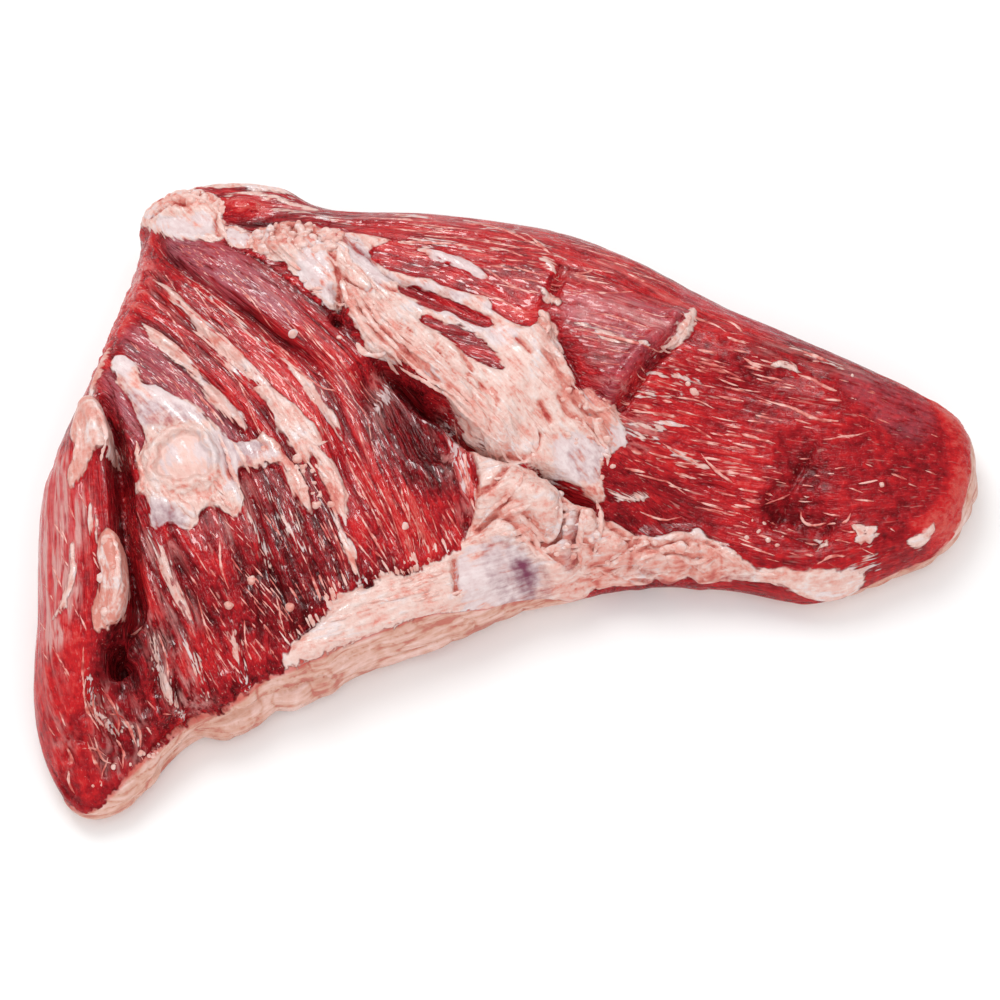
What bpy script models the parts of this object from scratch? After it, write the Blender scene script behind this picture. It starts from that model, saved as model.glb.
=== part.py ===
"""A raw beef tri-tip: one boomerang-shaped piece of meat, lying on its fat cap with its trimmed side up.

The piece is modelled as a butcher sees it from above. A closed outline gives its plan, a few named
spots give the thickness of the meat, and creases, folds and lumps are laid over that along short
paths. Lengths are in millimetres and become metres where the mesh is made. +X runs from the pointed
tip to the thick round end, +Z is up, and the origin is on the table under the middle of the piece.
"""

import bmesh
import bpy
import numpy as np
from mathutils import Vector
from mathutils.geometry import delaunay_2d_cdt

for old in list(bpy.data.objects):
    bpy.data.objects.remove(old)

MM = 0.001

# Driving dimensions, in millimetres.
CAP_BULGE_HEIGHT = 7.0  # where the fat cap stands out furthest
CAP_CURL = 7.0  # how far in the cap's underside curls up from the table
TOP_PITCH = 4.5  # spacing of the points on the upper face
UNDER_PITCH = 16.0  # spacing of the points on the flat underside
TOP_RINGS = (0.35, 1.3, 3.0, 5.5, 9.0)  # distances in from the outline
UNDER_RINGS = (0.6, 2.2, 4.6, 7.2)
RIM_PITCH = 4.4  # spacing of the points round the outline
PATH_PITCH = 2.7  # spacing of the points along creases and lips
PATH_GAP = 1.7  # nearest that two of those may come
FINE_HALF_WIDTH = 4.0  # creases at least this wide get two more rows of points
LATTICE_GAP = 0.62  # share of the pitch that keeps a point of the field from the others
EDGE_FADE = 5.0  # how far in from the outline the creases reach their full depth

# The outline from above: x, y and how far in the edge goes on rounding over.
HOLLOW_SIDE = (
    (-140, -122, 8), (-128, -120, 8), (-116, -110, 8), (-106, -98, 8), (-94, -90, 8),
    (-81, -84, 8), (-52, -71, 7), (-17, -57, 7), (8, -45, 7), (47, -37, 8), (75, -38, 8),
    (104, -43, 9), (131, -34, 9), (151, -22, 10), (161, -5, 10),
)
ROUND_END = ((162, 12, 10), (157, 25, 12), (144, 34, 14))
FAR_SIDE = (
    (116, 50, 20), (76, 71, 22), (44, 91, 24), (10, 105, 24), (-30, 112, 24), (-60, 113, 22),
    (-84, 121, 20), (-105, 122, 16), (-125, 117, 12), (-133, 108, 12),
)
LEFT_SIDE = (
    (-137, 82, 14), (-148, 40, 14), (-158, 7, 14), (-162, -13, 14), (-160, -48, 14),
    (-158, -85, 12), (-151, -108, 9),
)

# Height of the upper face, clear of its creases: x, y, z.
THICKNESS = {
    "blunt corner": (-112, 102, 30),
    "far edge at the left": (-60, 94, 36),
    "far edge in the middle": (0, 86, 38),
    "far edge at the right": (60, 57, 38),
    "shoulder of the lobe": (100, 37, 36),
    "lobe": (112, 14, 36),
    "near rim of the lobe": (112, -20, 28),
    "round end": (146, 16, 29),
    "seam at the top": (-70, 82, 38),
    "seam in the middle": (-15, 44, 42),
    "seam at its foot": (22, 10, 38),
    "under the flap": (40, 52, 42),
    "fat knot": (5, -13, 34),
    "thin near edge": (50, -24, 22),
    "left plane": (-70, 22, 38),
    "left plane at the far side": (-110, 62, 38),
    "left plane at the near side": (-80, -53, 31),
    "left plane by the knot": (-30, -28, 34),
    "rolled edge": (-150, -18, 34),
    "rolled edge near the tip": (-145, -78, 28),
    "pointed tip": (-135, -106, 18),
}


# Creases and hollows, cut down into the upper face: depth, half width and path.
CREASES = {
    "crevice under the fat band": (
        8, 3.4, ((-48, 35), (-40, 31), (-31, 20), (-23, 14), (-16, 6), (-9, 0), (3, -5))),
    "crevice by the fat knot": (7, 3.5, ((5, -6), (15, -9), (22, -14), (31, -18))),
    "hollow of the dark muscle": (7, 13, ((-50, 36), (-38, 20), (-27, 6), (-14, -4))),
    "fold of the membrane": (
        4, 3, ((-130, 98), (-122, 83), (-108, 69), (-95, 58), (-81, 45), (-68, 34), (-58, 20))),
    "groove by the rolled edge": (
        9, 4.5, ((-144, 34), (-138, 14), (-133, -3), (-131, -14), (-129, -30), (-126, -46),
                 (-124, -58), (-127, -68), (-128, -79), (-122, -87))),
    "pocket in the groove": (9, 6, ((-130, -69), (-127, -81))),
    "small pocket in the groove": (4, 3, ((-132, -8), (-130, -18))),
    "notch in the fat band": (3, 2.5, ((-62, 63), (-59, 55), (-61, 47))),
    "crease along the tip": (3, 3, ((-137, -78), (-135, -91), (-126, -103))),
    "hollow of the lobe": (5, 9, ((86, -14), (97, -21), (110, -26))),
    "dip across the lobe": (2.5, 9, ((93, 8), (101, -6), (98, -16))),
    "fold above the flap": (3, 3, ((20, 74), (16, 63), (11, 52))),
    "seam at the far side": (2.5, 3, ((-104, 92), (-91, 92), (-76, 91), (-60, 88), (-46, 80))),
    "split over the windows": (2.5, 2.5, ((-50, 80), (-44, 69), (-31, 61), (-17, 52), (-5, 44))),
    "grain by the blunt corner": (2, 2.2, ((-131, 70), (-116, 55), (-99, 38), (-84, 24))),
    "grain beside the disc": (2.2, 2.4, ((-127, 46), (-108, 30), (-96, 18), (-88, 8), (-80, -8))),
    "grain down the middle": (2.2, 2.4, ((-91, 49), (-78, 36), (-66, 18), (-60, 2), (-53, -22))),
    "grain below the disc": (2, 2.2, ((-92, -4), (-86, -22), (-79, -44), (-72, -62))),
    "grain toward the near edge": (2, 2.2, ((-116, -28), (-107, -50), (-97, -72), (-91, -80))),
    "grain of the near muscle": (1.8, 2.2, ((-57, 2), (-47, -18), (-38, -38))),
    "grain of the far muscle": (1.8, 2.2, ((-70, 96), (-44, 93), (-16, 88), (8, 80))),
    "grain across the lobe": (1.6, 2.4, ((52, 30), (74, 26), (96, 19), (118, 16))),
    "grain under the lobe": (1.6, 2.4, ((40, 4), (60, -4), (78, -16), (90, -28))),
}
# Edges that stand up on the left of their path and die away: height, edge width, reach and path.
LIPS = {
    "flap": (5, 2.5, 24, ((30, 15), (37, 17), (42, 24), (48, 33), (56, 42), (60, 49), (62, 60))),
    "fat beside the flap": (3, 2, 13, ((27, 19), (21, 30), (15, 40), (12, 52))),
    "fat band over the crevice": (
        6, 2.5, 18, ((-49, 38), (-40, 33), (-31, 22), (-23, 16), (-16, 8), (-9, 2), (3, -3))),
    "upper edge of the fat band": (
        3, 2.5, 15, ((-92, 85), (-79, 76), (-70, 66), (-61, 53), (-52, 42), (-46, 36))),
    "rolled edge": (
        5, 3, 15, ((-123, -85), (-126, -76), (-126, -66), (-125, -58), (-127, -46), (-130, -30),
                   (-133, -14), (-135, -3), (-140, 14), (-146, 33))),
    "edge of the near muscle": (
        2, 2, 12, ((-78, -71), (-62, -59), (-50, -50), (-37, -46), (-20, -39), (-12, -31))),
}
# Rounded lumps of fat and meat: x, y, half length, half width, turn in degrees and height.
LUMPS = {
    "fat disc": (-110, -5, 13, 12, 0, 2.5),
    "rim of the disc": (-118, -20, 9, 6, -30, 2),
    "fat on the rolled edge": (-132, -47, 17, 6, -80, 3.5),
    "top of the knot": (-4, -17, 10, 8, -20, 4),
    "side of the knot": (9, -21, 9, 8, 20, 4.5),
    "foot of the knot": (17, -31, 7, 5, 60, 3),
    "near side of the knot": (-3, -33, 9, 6, 15, 2.5),
    "bead by the knot": (24, -27, 6, 5, 0, 3.5),
    "second bead": (35, -29, 7, 4, 10, 3),
    "third bead": (48, -29, 7, 4, 15, 3),
    "fourth bead": (60, -29, 8, 4, -20, 3.5),
    "end of the ridge": (74, -35, 8, 3.5, -20, 2.5),
    "fat at the lobe": (107, -37, 7, 4, 0, 2),
    "fat on the far rim": (122, -27, 6, 3.5, 10, 2),
    "seam bead by the corner": (-81, 88, 5, 4, -20, 2.5),
    "seam bead": (-71, 85, 4, 3.5, 0, 2.5),
    "second seam bead": (-63, 84, 4, 3.5, 30, 2.5),
    "third seam bead": (-62, 75, 6, 4, 40, 2),
    "upper band": (-54, 63, 8, 5, -50, 2),
    "lower band": (-44, 42, 8, 5, -40, 2.5),
    "corner fat": (-120, 106, 8, 5, 10, 2.5),
    "corner fat beside it": (-110, 102, 6, 5, 0, 2),
    "corner muscle": (-99, 102, 8, 6, -20, 3),
    "fat tag on the flap": (60, 51, 8, 3, 65, 2.5),
    "swell of the tip": (-142, -92, 14, 6, -85, 2),
    "swell of the far muscle": (10, 72, 16, 9, -25, 1.5),
    "swell of the lobe": (76, 40, 22, 10, -20, 2),
}

MEAT_COLOUR = (0.36, 0.075, 0.07)
MEAT_ROUGHNESS = 0.35


def catmull_rom(before, knots, after, beyond):
    """Points of the curve from each knot to the one after it."""
    share = np.linspace(0, 1, 24, endpoint=False)[:, None, None]
    curve = 0.5 * (
        2 * knots
        + (after - before) * share
        + (2 * before - 5 * knots + 4 * after - beyond) * share**2
        + (3 * knots - before - 3 * after + beyond) * share**3
    )
    return curve.transpose(1, 0, 2).reshape(-1, knots.shape[1])


def respace(line, step, endpoint):
    """The line again, with its points about `step` apart."""
    along = np.concatenate([[0], np.cumsum(np.linalg.norm(np.diff(line[:, :2], axis=0), axis=1))])
    count = max(2, round(along[-1] / step) + endpoint)
    at = np.linspace(0, along[-1], count, endpoint=endpoint)
    return np.stack([np.interp(at, along, column) for column in line.T], axis=1)


def smooth_loop(points, step):
    """Points every `step` along a closed smooth curve through `points`, columns kept."""
    knots = np.array(points, float)
    curve = catmull_rom(*(np.roll(knots, shift, axis=0) for shift in (1, 0, -1, -2)))
    return respace(np.vstack([curve, curve[:1]]), step, endpoint=False)


def smooth_path(points, step):
    """Points every `step` along an open smooth curve through `points`."""
    knots = np.array(points, float)
    padded = np.vstack([2 * knots[0] - knots[1], knots, 2 * knots[-1] - knots[-2]])
    curve = catmull_rom(padded[:-3], padded[1:-2], padded[2:-1], padded[3:])
    return respace(np.vstack([curve, knots[-1:]]), step, endpoint=True)


def nearest_on_path(places, path):
    """For each place: distance to the polyline, and how far along it the nearest point is, 0 to 1."""
    starts, steps = path[:-1], np.diff(path, axis=0)
    lengths = np.linalg.norm(steps, axis=1)
    offset = places[:, None] - starts
    share = np.clip((offset * steps).sum(2) / lengths**2, 0, 1)
    gap = np.linalg.norm(offset - share[..., None] * steps, axis=2)
    nearest = gap.argmin(1)
    rows = np.arange(len(places))
    along = np.concatenate([[0], np.cumsum(lengths)])
    return gap[rows, nearest], (along[nearest] + share[rows, nearest] * lengths[nearest]) / along[-1]


def inside(places, loop):
    """True for each place inside the closed loop, by counting crossings."""
    ends = np.roll(loop, -1, axis=0)
    x, y = places[:, 0:1], places[:, 1:2]
    crosses = (loop[:, 1] > y) != (ends[:, 1] > y)
    slope = (ends[:, 0] - loop[:, 0]) / np.where(ends[:, 1] == loop[:, 1], 1e-9, ends[:, 1] - loop[:, 1])
    return ((crosses & (x < loop[:, 0] + slope * (y - loop[:, 1]))).sum(1) % 2).astype(bool)


def depth_inside(places, loop):
    """Distance in from a closed loop, negative outside it."""
    gap, _ = nearest_on_path(places, np.vstack([loop, loop[:1]]))
    return np.where(inside(places, loop), gap, -gap)


def thin_plate(places, spots):
    """A smooth sheet through spots of x, y and z, read at each place."""
    spots = np.array(spots, float)

    def bend(a, b):
        gap = np.linalg.norm(a[:, None] - b, axis=2)
        return np.where(gap > 0, gap**2 * np.log(np.maximum(gap, 1e-9)), 0.0)

    flat = np.hstack([np.ones((len(spots), 1)), spots[:, :2]])
    system = np.block([[bend(spots[:, :2], spots[:, :2]), flat], [flat.T, np.zeros((3, 3))]])
    weights = np.linalg.solve(system, np.concatenate([spots[:, 2], np.zeros(3)]))
    here = np.hstack([np.ones((len(places), 1)), places])
    return bend(places, spots[:, :2]) @ weights[:-3] + here @ weights[-3:]


def quarter_round(share):
    """Height of a quarter ellipse: 0 at its rim and 1 where it meets the flat."""
    return np.sqrt(1 - (1 - np.clip(share, 0, 1)) ** 2)


def ease(share):
    """0 below 0, 1 above 1, and a smooth step between."""
    share = np.clip(share, 0, 1)
    return share * share * (3 - 2 * share)


def end_fade(along):
    """1 along the middle of a path, easing to 0 over its first and last fifth."""
    return ease(along / 0.2) * ease((1 - along) / 0.2)


def left_of_path(places, path):
    """Signed distance to the polyline, positive on its left, and how far along it."""
    gap, along = nearest_on_path(places, path)
    middles, steps = (path[:-1] + path[1:]) / 2, np.diff(path, axis=0)
    offset = places[:, None] - middles
    nearest = np.linalg.norm(offset, axis=2).argmin(1)
    rows = np.arange(len(places))
    toward, reach = steps[nearest], offset[rows, nearest]
    return gap * np.sign(toward[:, 0] * reach[:, 1] - toward[:, 1] * reach[:, 0]), along


OUTLINE = smooth_loop(HOLLOW_SIDE + ROUND_END + FAR_SIDE + LEFT_SIDE, 1.0)


def relief(places):
    """How far the creases, lips and lumps lift the upper face at each place."""
    lift = np.zeros(len(places))
    for height, edge, reach, points in LIPS.values():
        side, along = left_of_path(places, smooth_path(points, 2.0))
        lift += height * ease(side / edge) * np.exp(-np.maximum(side, 0) / reach) * end_fade(along)
    for x, y, length, width, turn, height in LUMPS.values():
        turn = np.radians(turn)
        away = places - (x, y)
        along = (away @ (np.cos(turn), np.sin(turn))) / length
        across = (away @ (-np.sin(turn), np.cos(turn))) / width
        lift += height * ease(1.25 - np.hypot(along, across))
    for depth, half_width, points in CREASES.values():
        gap, along = nearest_on_path(places, smooth_path(points, 2.0))
        lift -= depth * ease(1 - gap / half_width) * end_fade(along)
    return lift


def upper_height(places):
    """Height of the upper face at each place."""
    gap, along = nearest_on_path(places, np.vstack([OUTLINE, OUTLINE[:1]])[:, :2])
    rounding = OUTLINE[np.minimum((along * len(OUTLINE)).astype(int), len(OUTLINE) - 1), 2]
    full = thin_plate(places, list(THICKNESS.values()))
    smooth = CAP_BULGE_HEIGHT + (full - CAP_BULGE_HEIGHT) * quarter_round(gap / rounding)
    return smooth + relief(places) * ease(gap / EDGE_FADE)


def under_height(places):
    """Height of the underside: flat on the table, curling up to the outline."""
    return CAP_BULGE_HEIGHT * (1 - quarter_round(depth_inside(places, OUTLINE[:, :2]) / CAP_CURL))


def ring(rim, distance):
    """The rim's points moved in by `distance`, without those that came too near another part of it."""
    along = np.roll(rim, -1, axis=0) - np.roll(rim, 1, axis=0)
    inward = np.stack([-along[:, 1], along[:, 0]], axis=1) / np.linalg.norm(along, axis=1)[:, None]
    moved = rim + inward * distance
    return moved[depth_inside(moved, OUTLINE[:, :2]) > distance * 0.93]


def path_rows(points, half_width):
    """Points along a path and along both its sides, so that the mesh follows it."""
    middle = smooth_path(points, PATH_PITCH)
    along = np.gradient(middle, axis=0)
    across = np.stack([-along[:, 1], along[:, 0]], axis=1) / np.linalg.norm(along, axis=1)[:, None]
    shares = (0, -1, 1) if half_width < FINE_HALF_WIDTH else (0, -0.45, 0.45, -1, 1)
    return [middle + across * half_width * share for share in shares]


def lattice(pitch):
    """A triangular lattice over the whole outline."""
    x = np.arange(OUTLINE[:, 0].min(), OUTLINE[:, 0].max(), pitch)
    y = np.arange(OUTLINE[:, 1].min(), OUTLINE[:, 1].max(), pitch * 0.866)
    across, up = np.meshgrid(x, y)
    across[1::2] += pitch / 2
    return np.stack([across.ravel(), up.ravel()], axis=1)


def spread(groups, gaps):
    """The points of each group in turn, leaving out any nearer than the group's gap to one kept."""
    kept = np.empty((0, 2))
    for group, gap in zip(groups, gaps):
        for point in group:
            if not len(kept) or np.hypot(*(kept - point).T).min() > gap:
                kept = np.vstack([kept, point])
    return kept


def sheet_points(rim, distances, rows, pitch, margin):
    """The rim, then rings in from it, then rows along the paths, then a lattice."""
    rings = [ring(rim, distance) for distance in distances]
    room = distances[-1] + margin
    inner = [row[depth_inside(row, OUTLINE[:, :2]) > room] for row in rows]
    cells = lattice(pitch)
    cells = cells[depth_inside(cells, OUTLINE[:, :2]) > room]
    field = spread(inner + [cells], [PATH_GAP] * len(inner) + [pitch * LATTICE_GAP])
    return np.vstack([rim] + rings + [field])


def sheet_faces(points, rim_count):
    """Triangles over the points, inside the rim, as numbers of the points."""
    loop = [(number, (number + 1) % rim_count) for number in range(rim_count)]
    found = delaunay_2d_cdt([Vector(point) for point in points], loop, [], 1, 1e-4)
    source = [numbers[0] for numbers in found[3]]
    return [[source[corner] for corner in face] for face in found[2]]


def make_meat():
    """One closed body: the upper sheet and the underside share the rim."""
    rim = smooth_loop(OUTLINE, RIM_PITCH)[:, :2]
    rows = []
    for _, half_width, points in CREASES.values():
        rows += path_rows(points, half_width)
    for _, edge, _, points in LIPS.values():
        rows += path_rows(points, edge)
    top = sheet_points(rim, TOP_RINGS, rows, TOP_PITCH, TOP_PITCH * 0.6)
    under = sheet_points(rim, UNDER_RINGS, [], UNDER_PITCH, UNDER_PITCH * 0.4)

    heights = np.concatenate([upper_height(top), under_height(under[len(rim):])])
    heights[:len(rim)] = CAP_BULGE_HEIGHT
    places = np.vstack([top, under[len(rim):]])
    faces = sheet_faces(top, len(rim))
    for face in sheet_faces(under, len(rim)):
        lower = [corner if corner < len(rim) else corner + len(top) - len(rim) for corner in face]
        faces.append(lower[::-1])

    mesh = bpy.data.meshes.new("tri_tip")
    mesh.from_pydata((np.column_stack([places, heights]) * MM).tolist(), [], faces)
    build = bmesh.new()
    build.from_mesh(mesh)
    bmesh.ops.recalc_face_normals(build, faces=build.faces)
    build.to_mesh(mesh)
    build.free()
    mesh.shade_smooth()
    return mesh


def make_material():
    material = bpy.data.materials.new("raw_beef")
    material.use_nodes = True
    surface = material.node_tree.nodes["Principled BSDF"]
    surface.inputs["Base Color"].default_value = (*MEAT_COLOUR, 1)
    surface.inputs["Roughness"].default_value = MEAT_ROUGHNESS
    return material


tri_tip = bpy.data.objects.new("tri_tip", make_meat())
tri_tip.data.materials.append(make_material())
bpy.context.scene.collection.objects.link(tri_tip)
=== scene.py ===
# %% [markdown]
# # A raw beef tri-tip
#
# This lesson dresses a plain solid of a tri-tip, a boomerang-shaped cut of beef, so that it looks like
# wet raw meat. The solid gives the form. What is added here is the grain of the muscle, the fat and the
# bluish skins that cover parts of it, the marbling, and the loose scraps a butcher leaves behind.
#
# All places on the meat are written in millimetres, seen from straight above, with the origin under
# the middle of the piece. That plan is easy to draw on, and every later step reads the same plan.

import itertools
import math

import bmesh
import bpy
import numpy as np
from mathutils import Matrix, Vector
from mathutils.bvhtree import BVHTree


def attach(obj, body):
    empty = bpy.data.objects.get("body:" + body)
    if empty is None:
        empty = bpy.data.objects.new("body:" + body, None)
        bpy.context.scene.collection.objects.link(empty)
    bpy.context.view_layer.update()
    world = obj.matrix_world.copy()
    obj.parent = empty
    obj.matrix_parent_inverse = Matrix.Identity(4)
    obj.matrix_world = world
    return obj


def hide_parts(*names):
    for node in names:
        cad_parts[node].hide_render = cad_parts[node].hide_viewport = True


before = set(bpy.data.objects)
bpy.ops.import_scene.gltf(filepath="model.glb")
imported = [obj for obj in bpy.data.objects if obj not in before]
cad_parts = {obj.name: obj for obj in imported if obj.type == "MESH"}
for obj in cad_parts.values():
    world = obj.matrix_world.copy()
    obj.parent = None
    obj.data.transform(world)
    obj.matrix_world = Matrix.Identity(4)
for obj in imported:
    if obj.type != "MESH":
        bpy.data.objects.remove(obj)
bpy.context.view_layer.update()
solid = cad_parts["tri_tip"]
MM = 0.001

# %% [markdown]
# ## Camera, table and light
#
# The meat was looked at from about 60 degrees above the table with a long lens. It lies on white paper
# in soft daylight that comes from behind it and from the left, so the near rims throw short soft
# shadows towards the viewer. A bright sky all round and a weak lamp behind the viewer fill the
# shadows. A lamp that only shows as a reflection gives the wet surface its highlights.

# %% Camera
LOOK_AT = Vector((-0.0035, -0.0105, 0.020))
CAMERA_DISTANCE = 0.95
CAMERA_ELEVATION = math.radians(60)
LENS, SENSOR = 100, 36  # mm


def add_object(name, data):
    """A new object in the scene."""
    added = bpy.data.objects.new(name, data)
    bpy.context.scene.collection.objects.link(added)
    return added


def aim(thing, target):
    """Turn a camera or lamp so that it looks at the target."""
    thing.rotation_euler = (target - thing.location).to_track_quat("-Z", "Y").to_euler()


def add_camera():
    camera = add_object("camera", bpy.data.cameras.new("camera"))
    camera.data.lens = LENS
    camera.data.sensor_width = SENSOR
    camera.data.clip_start = 0.05
    back = Vector((0, -math.cos(CAMERA_ELEVATION), math.sin(CAMERA_ELEVATION)))
    camera.location = LOOK_AT + back * CAMERA_DISTANCE
    aim(camera, LOOK_AT)
    bpy.context.scene.camera = camera


add_camera()
print("camera, mm from the meat:", round(CAMERA_DISTANCE / MM))

# %% Table
TABLE_SIZE = 4.0
TABLE_GAP = 0.0003  # the table lies this much below the meat
PAPER_WHITE = (0.95, 0.95, 0.95, 1)


def new_material(name, **constants):
    """A Principled material with its constant inputs set on the shader itself."""
    material = bpy.data.materials.new(name)
    material.use_nodes = True
    shader = material.node_tree.nodes["Principled BSDF"]
    for socket, value in constants.items():
        shader.inputs[socket.replace("_", " ")].default_value = value
    return material, material.node_tree, shader


def add_table():
    mesh = bpy.data.meshes.new("table")
    half = TABLE_SIZE / 2
    corners = [(-half, -half, 0), (half, -half, 0), (half, half, 0), (-half, half, 0)]
    mesh.from_pydata(corners, [], [(0, 1, 2, 3)])
    paper, _, _ = new_material("white_paper", Base_Color=PAPER_WHITE, Roughness=0.9)
    mesh.materials.append(paper)
    table_top = add_object("table", mesh)
    table_top.location.z = -TABLE_GAP


add_table()
print("table, m:", TABLE_SIZE)

# %% Lamps and sky
LAMPS = {  # name: place, size across in metres, watts; the sheen shows only as a reflection
    "window": ((-0.32, 0.50, 0.95), 0.65, 4.7),
    "fill": ((0.10, -0.75, 0.55), 0.90, 2.1),
    "sheen": ((-0.12, 0.66, 0.95), 0.90, 24.0),
}
SKY_STRENGTH = 0.82
SKY_MIRRORED = 0.10  # how bright the sky looks in the wet surface


def add_lamps():
    for name, (place, size, watts) in LAMPS.items():
        lamp = add_object(name, bpy.data.lights.new(name, "AREA"))
        lamp.data.shape = "DISK"
        lamp.data.size = size
        lamp.data.energy = watts
        lamp.location = place
        lamp.visible_glossy = name == "sheen"
        lamp.visible_diffuse = name != "sheen"
        aim(lamp, LOOK_AT)


def add_sky():
    sky = bpy.data.worlds.new("sky")
    sky.use_nodes = True
    sky.node_tree.nodes["Background"].inputs["Color"].default_value = (1, 1, 1, 1)
    tree = sky.node_tree
    ray = tree.nodes.new("ShaderNodeLightPath").outputs["Is Glossy Ray"]
    strength = tree.nodes.new("ShaderNodeMapRange")
    strength.inputs["To Min"].default_value = SKY_STRENGTH
    strength.inputs["To Max"].default_value = SKY_MIRRORED
    tree.links.new(ray, strength.inputs["Value"])
    tree.links.new(strength.outputs[0], tree.nodes["Background"].inputs["Strength"])
    bpy.context.scene.world = sky
    bpy.context.scene.view_settings.view_transform = "Standard"


add_lamps()
add_sky()
print("lamps:", len(LAMPS))

# %% [markdown]
# ## Drawing on the plan
#
# The plan is a grid of squares, each under a millimetre, that covers the meat seen from above. Patches
# of fat, strips of skin and cuts in the meat are drawn on it as a few points with a smooth curve
# through them. The grid then holds, for every square, how deep inside a patch it lies, in millimetres,
# negative outside. Such a depth is better than a yes or no: a material can later cut it at zero with
# some noise added, which gives a torn, fibrous edge however coarse the grid is.
#
# The drawings are tables of text, because that is the shortest way to write many places: each line is
# a name, a colon, and then single numbers and places "x y" between commas.

# %% Reading a drawing
def row(words):
    """'2.6, -126 70, -121 66' becomes [2.6, (-126, 70), (-121, 66)]."""
    items = [tuple(float(number) for number in item.split()) for item in words.split(",")]
    return [item[0] if len(item) == 1 else item for item in items]


def lines_of(words):
    """The lines of a drawing without its headings. An indented line goes on with the one above."""
    lines = words.strip("\n").replace("\n  ", " ").split("\n")
    return [line for line in lines if not line.startswith("#")]


def rows(words):
    return [row(line) for line in lines_of(words)]


def table(words):
    """The rows by their names."""
    named = [line.split(":") for line in lines_of(words)]
    return {name: row(numbers) for name, numbers in named}


print("a line of a drawing:", table("a strip: 2.6, -126 70, -121 66"))

# %% The plan's grid
PITCH = 0.6
PLAN_X = np.arange(-176.0, 176.0, PITCH)
PLAN_Y = np.arange(-136.0, 136.0, PITCH)
PLAN_SHAPE = (len(PLAN_X), len(PLAN_Y))
PLAN_PLACES = np.stack(np.meshgrid(PLAN_X, PLAN_Y, indexing="ij"), axis=-1)
REACH = 6.0  # depths are measured up to this far from a patch's edge


def ease(share):
    """0 below 0, 1 above 1, and a smooth step between."""
    share = np.clip(share, 0, 1)
    return share * share * (3 - 2 * share)


def respace(line, step):
    """The line again, with its points about `step` apart."""
    along = np.concatenate([[0], np.cumsum(np.linalg.norm(np.diff(line, axis=0), axis=1))])
    at = np.linspace(0, along[-1], max(2, round(along[-1] / step) + 1))
    return np.stack([np.interp(at, along, column) for column in line.T], axis=1)


def smooth_curve(points, step=1.5, closed=False):
    """A Catmull-Rom curve through the points."""
    knots = np.array(points, float)
    if closed:
        knots = np.vstack([knots[-1], knots, knots[:2]])
    else:
        knots = np.vstack([2 * knots[0] - knots[1], knots, 2 * knots[-1] - knots[-2]])
    before, start, end, after = knots[:-3], knots[1:-2], knots[2:-1], knots[3:]
    share = np.linspace(0, 1, 12, endpoint=False)[:, None, None]
    curve = 0.5 * (
        2 * start
        + (end - before) * share
        + (2 * before - 5 * start + 4 * end - after) * share**2
        + (3 * start - before - 3 * end + after) * share**3
    )
    fine = np.vstack([curve.transpose(1, 0, 2).reshape(-1, knots.shape[1]), knots[-2:-1]])
    return respace(fine, step)


print("squares in the plan:", PLAN_SHAPE[0] * PLAN_SHAPE[1])


# %% Depths inside patches and strips
def window(low, high):
    """The part of the grid inside a box, as two slices."""
    first = np.maximum(0, np.floor((low - (PLAN_X[0], PLAN_Y[0])) / PITCH).astype(int))
    last = np.maximum(0, np.ceil((high - (PLAN_X[0], PLAN_Y[0])) / PITCH).astype(int) + 1)
    return slice(first[0], last[0]), slice(first[1], last[1])


def path_maps(line, reach):
    """For the squares within `reach` of a path: distance to it, and how far along it, 0 to 1."""
    gap = np.full(PLAN_SHAPE, float(reach))
    share = np.zeros(PLAN_SHAPE)
    for number, (start, end) in enumerate(zip(line, line[1:])):
        cut = window(np.minimum(start, end) - reach, np.maximum(start, end) + reach)
        offset = PLAN_PLACES[cut] - start
        step = end - start
        along = np.clip(offset @ step / max(step @ step, 1e-12), 0, 1)
        away = np.linalg.norm(offset - along[..., None] * step, axis=-1)
        closer = away < gap[cut]
        gap[cut][closer] = away[closer]
        share[cut][closer] = (number + along[closer]) / (len(line) - 1)
    return gap, share


def inside_map(loop):
    """True for each square inside the closed loop, by counting crossings."""
    found = np.zeros(PLAN_SHAPE, bool)
    cut = window(loop.min(0), loop.max(0))
    for start, end in zip(loop, np.roll(loop, -1, axis=0)):
        if start[1] != end[1]:
            level = PLAN_Y[cut[1]]
            crossed = (start[1] > level) != (end[1] > level)
            crossing = start[0] + (level - start[1]) * (end[0] - start[0]) / (end[1] - start[1])
            found[cut] ^= crossed & (PLAN_X[cut[0], None] < crossing)
    return found


def patch_map(points):
    """How deep each square lies inside a closed patch, negative outside, limited to REACH."""
    loop = smooth_curve(points, closed=True)
    gap, _ = path_maps(loop, REACH)
    return np.where(inside_map(loop[:-1]), gap, -gap)


def strip_map(width, points):
    """The same for a strip along a path, as wide as given at its middle and narrowing to its ends."""
    gap, along = path_maps(smooth_curve(points), REACH)
    narrowing = np.clip(4 * along * (1 - along), 0, 1) ** 0.7
    return np.maximum(width / 2 * (0.1 + 0.9 * narrowing) - gap, -REACH)


def deepest(patches=(), strips=()):
    """Depth inside the nearest of several patches and strips."""
    depth = np.full(PLAN_SHAPE, -REACH)
    for points in patches:
        depth = np.maximum(depth, patch_map(points))
    for width, *points in strips:
        depth = np.maximum(depth, strip_map(width, points))
    return depth


def read_plan(values, places):
    """A plan grid read at any places, evenly blended between squares."""
    at = (places - (PLAN_X[0], PLAN_Y[0])) / PITCH
    base = np.clip(np.floor(at).astype(int), 0, np.array(PLAN_SHAPE) - 2)
    x, y = np.clip(at - base, 0, 1).T
    column, row = base.T
    near = values[column, row] * (1 - x) + values[column + 1, row] * x
    far = values[column, row + 1] * (1 - x) + values[column + 1, row + 1] * x
    return near * (1 - y) + far * y


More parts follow.
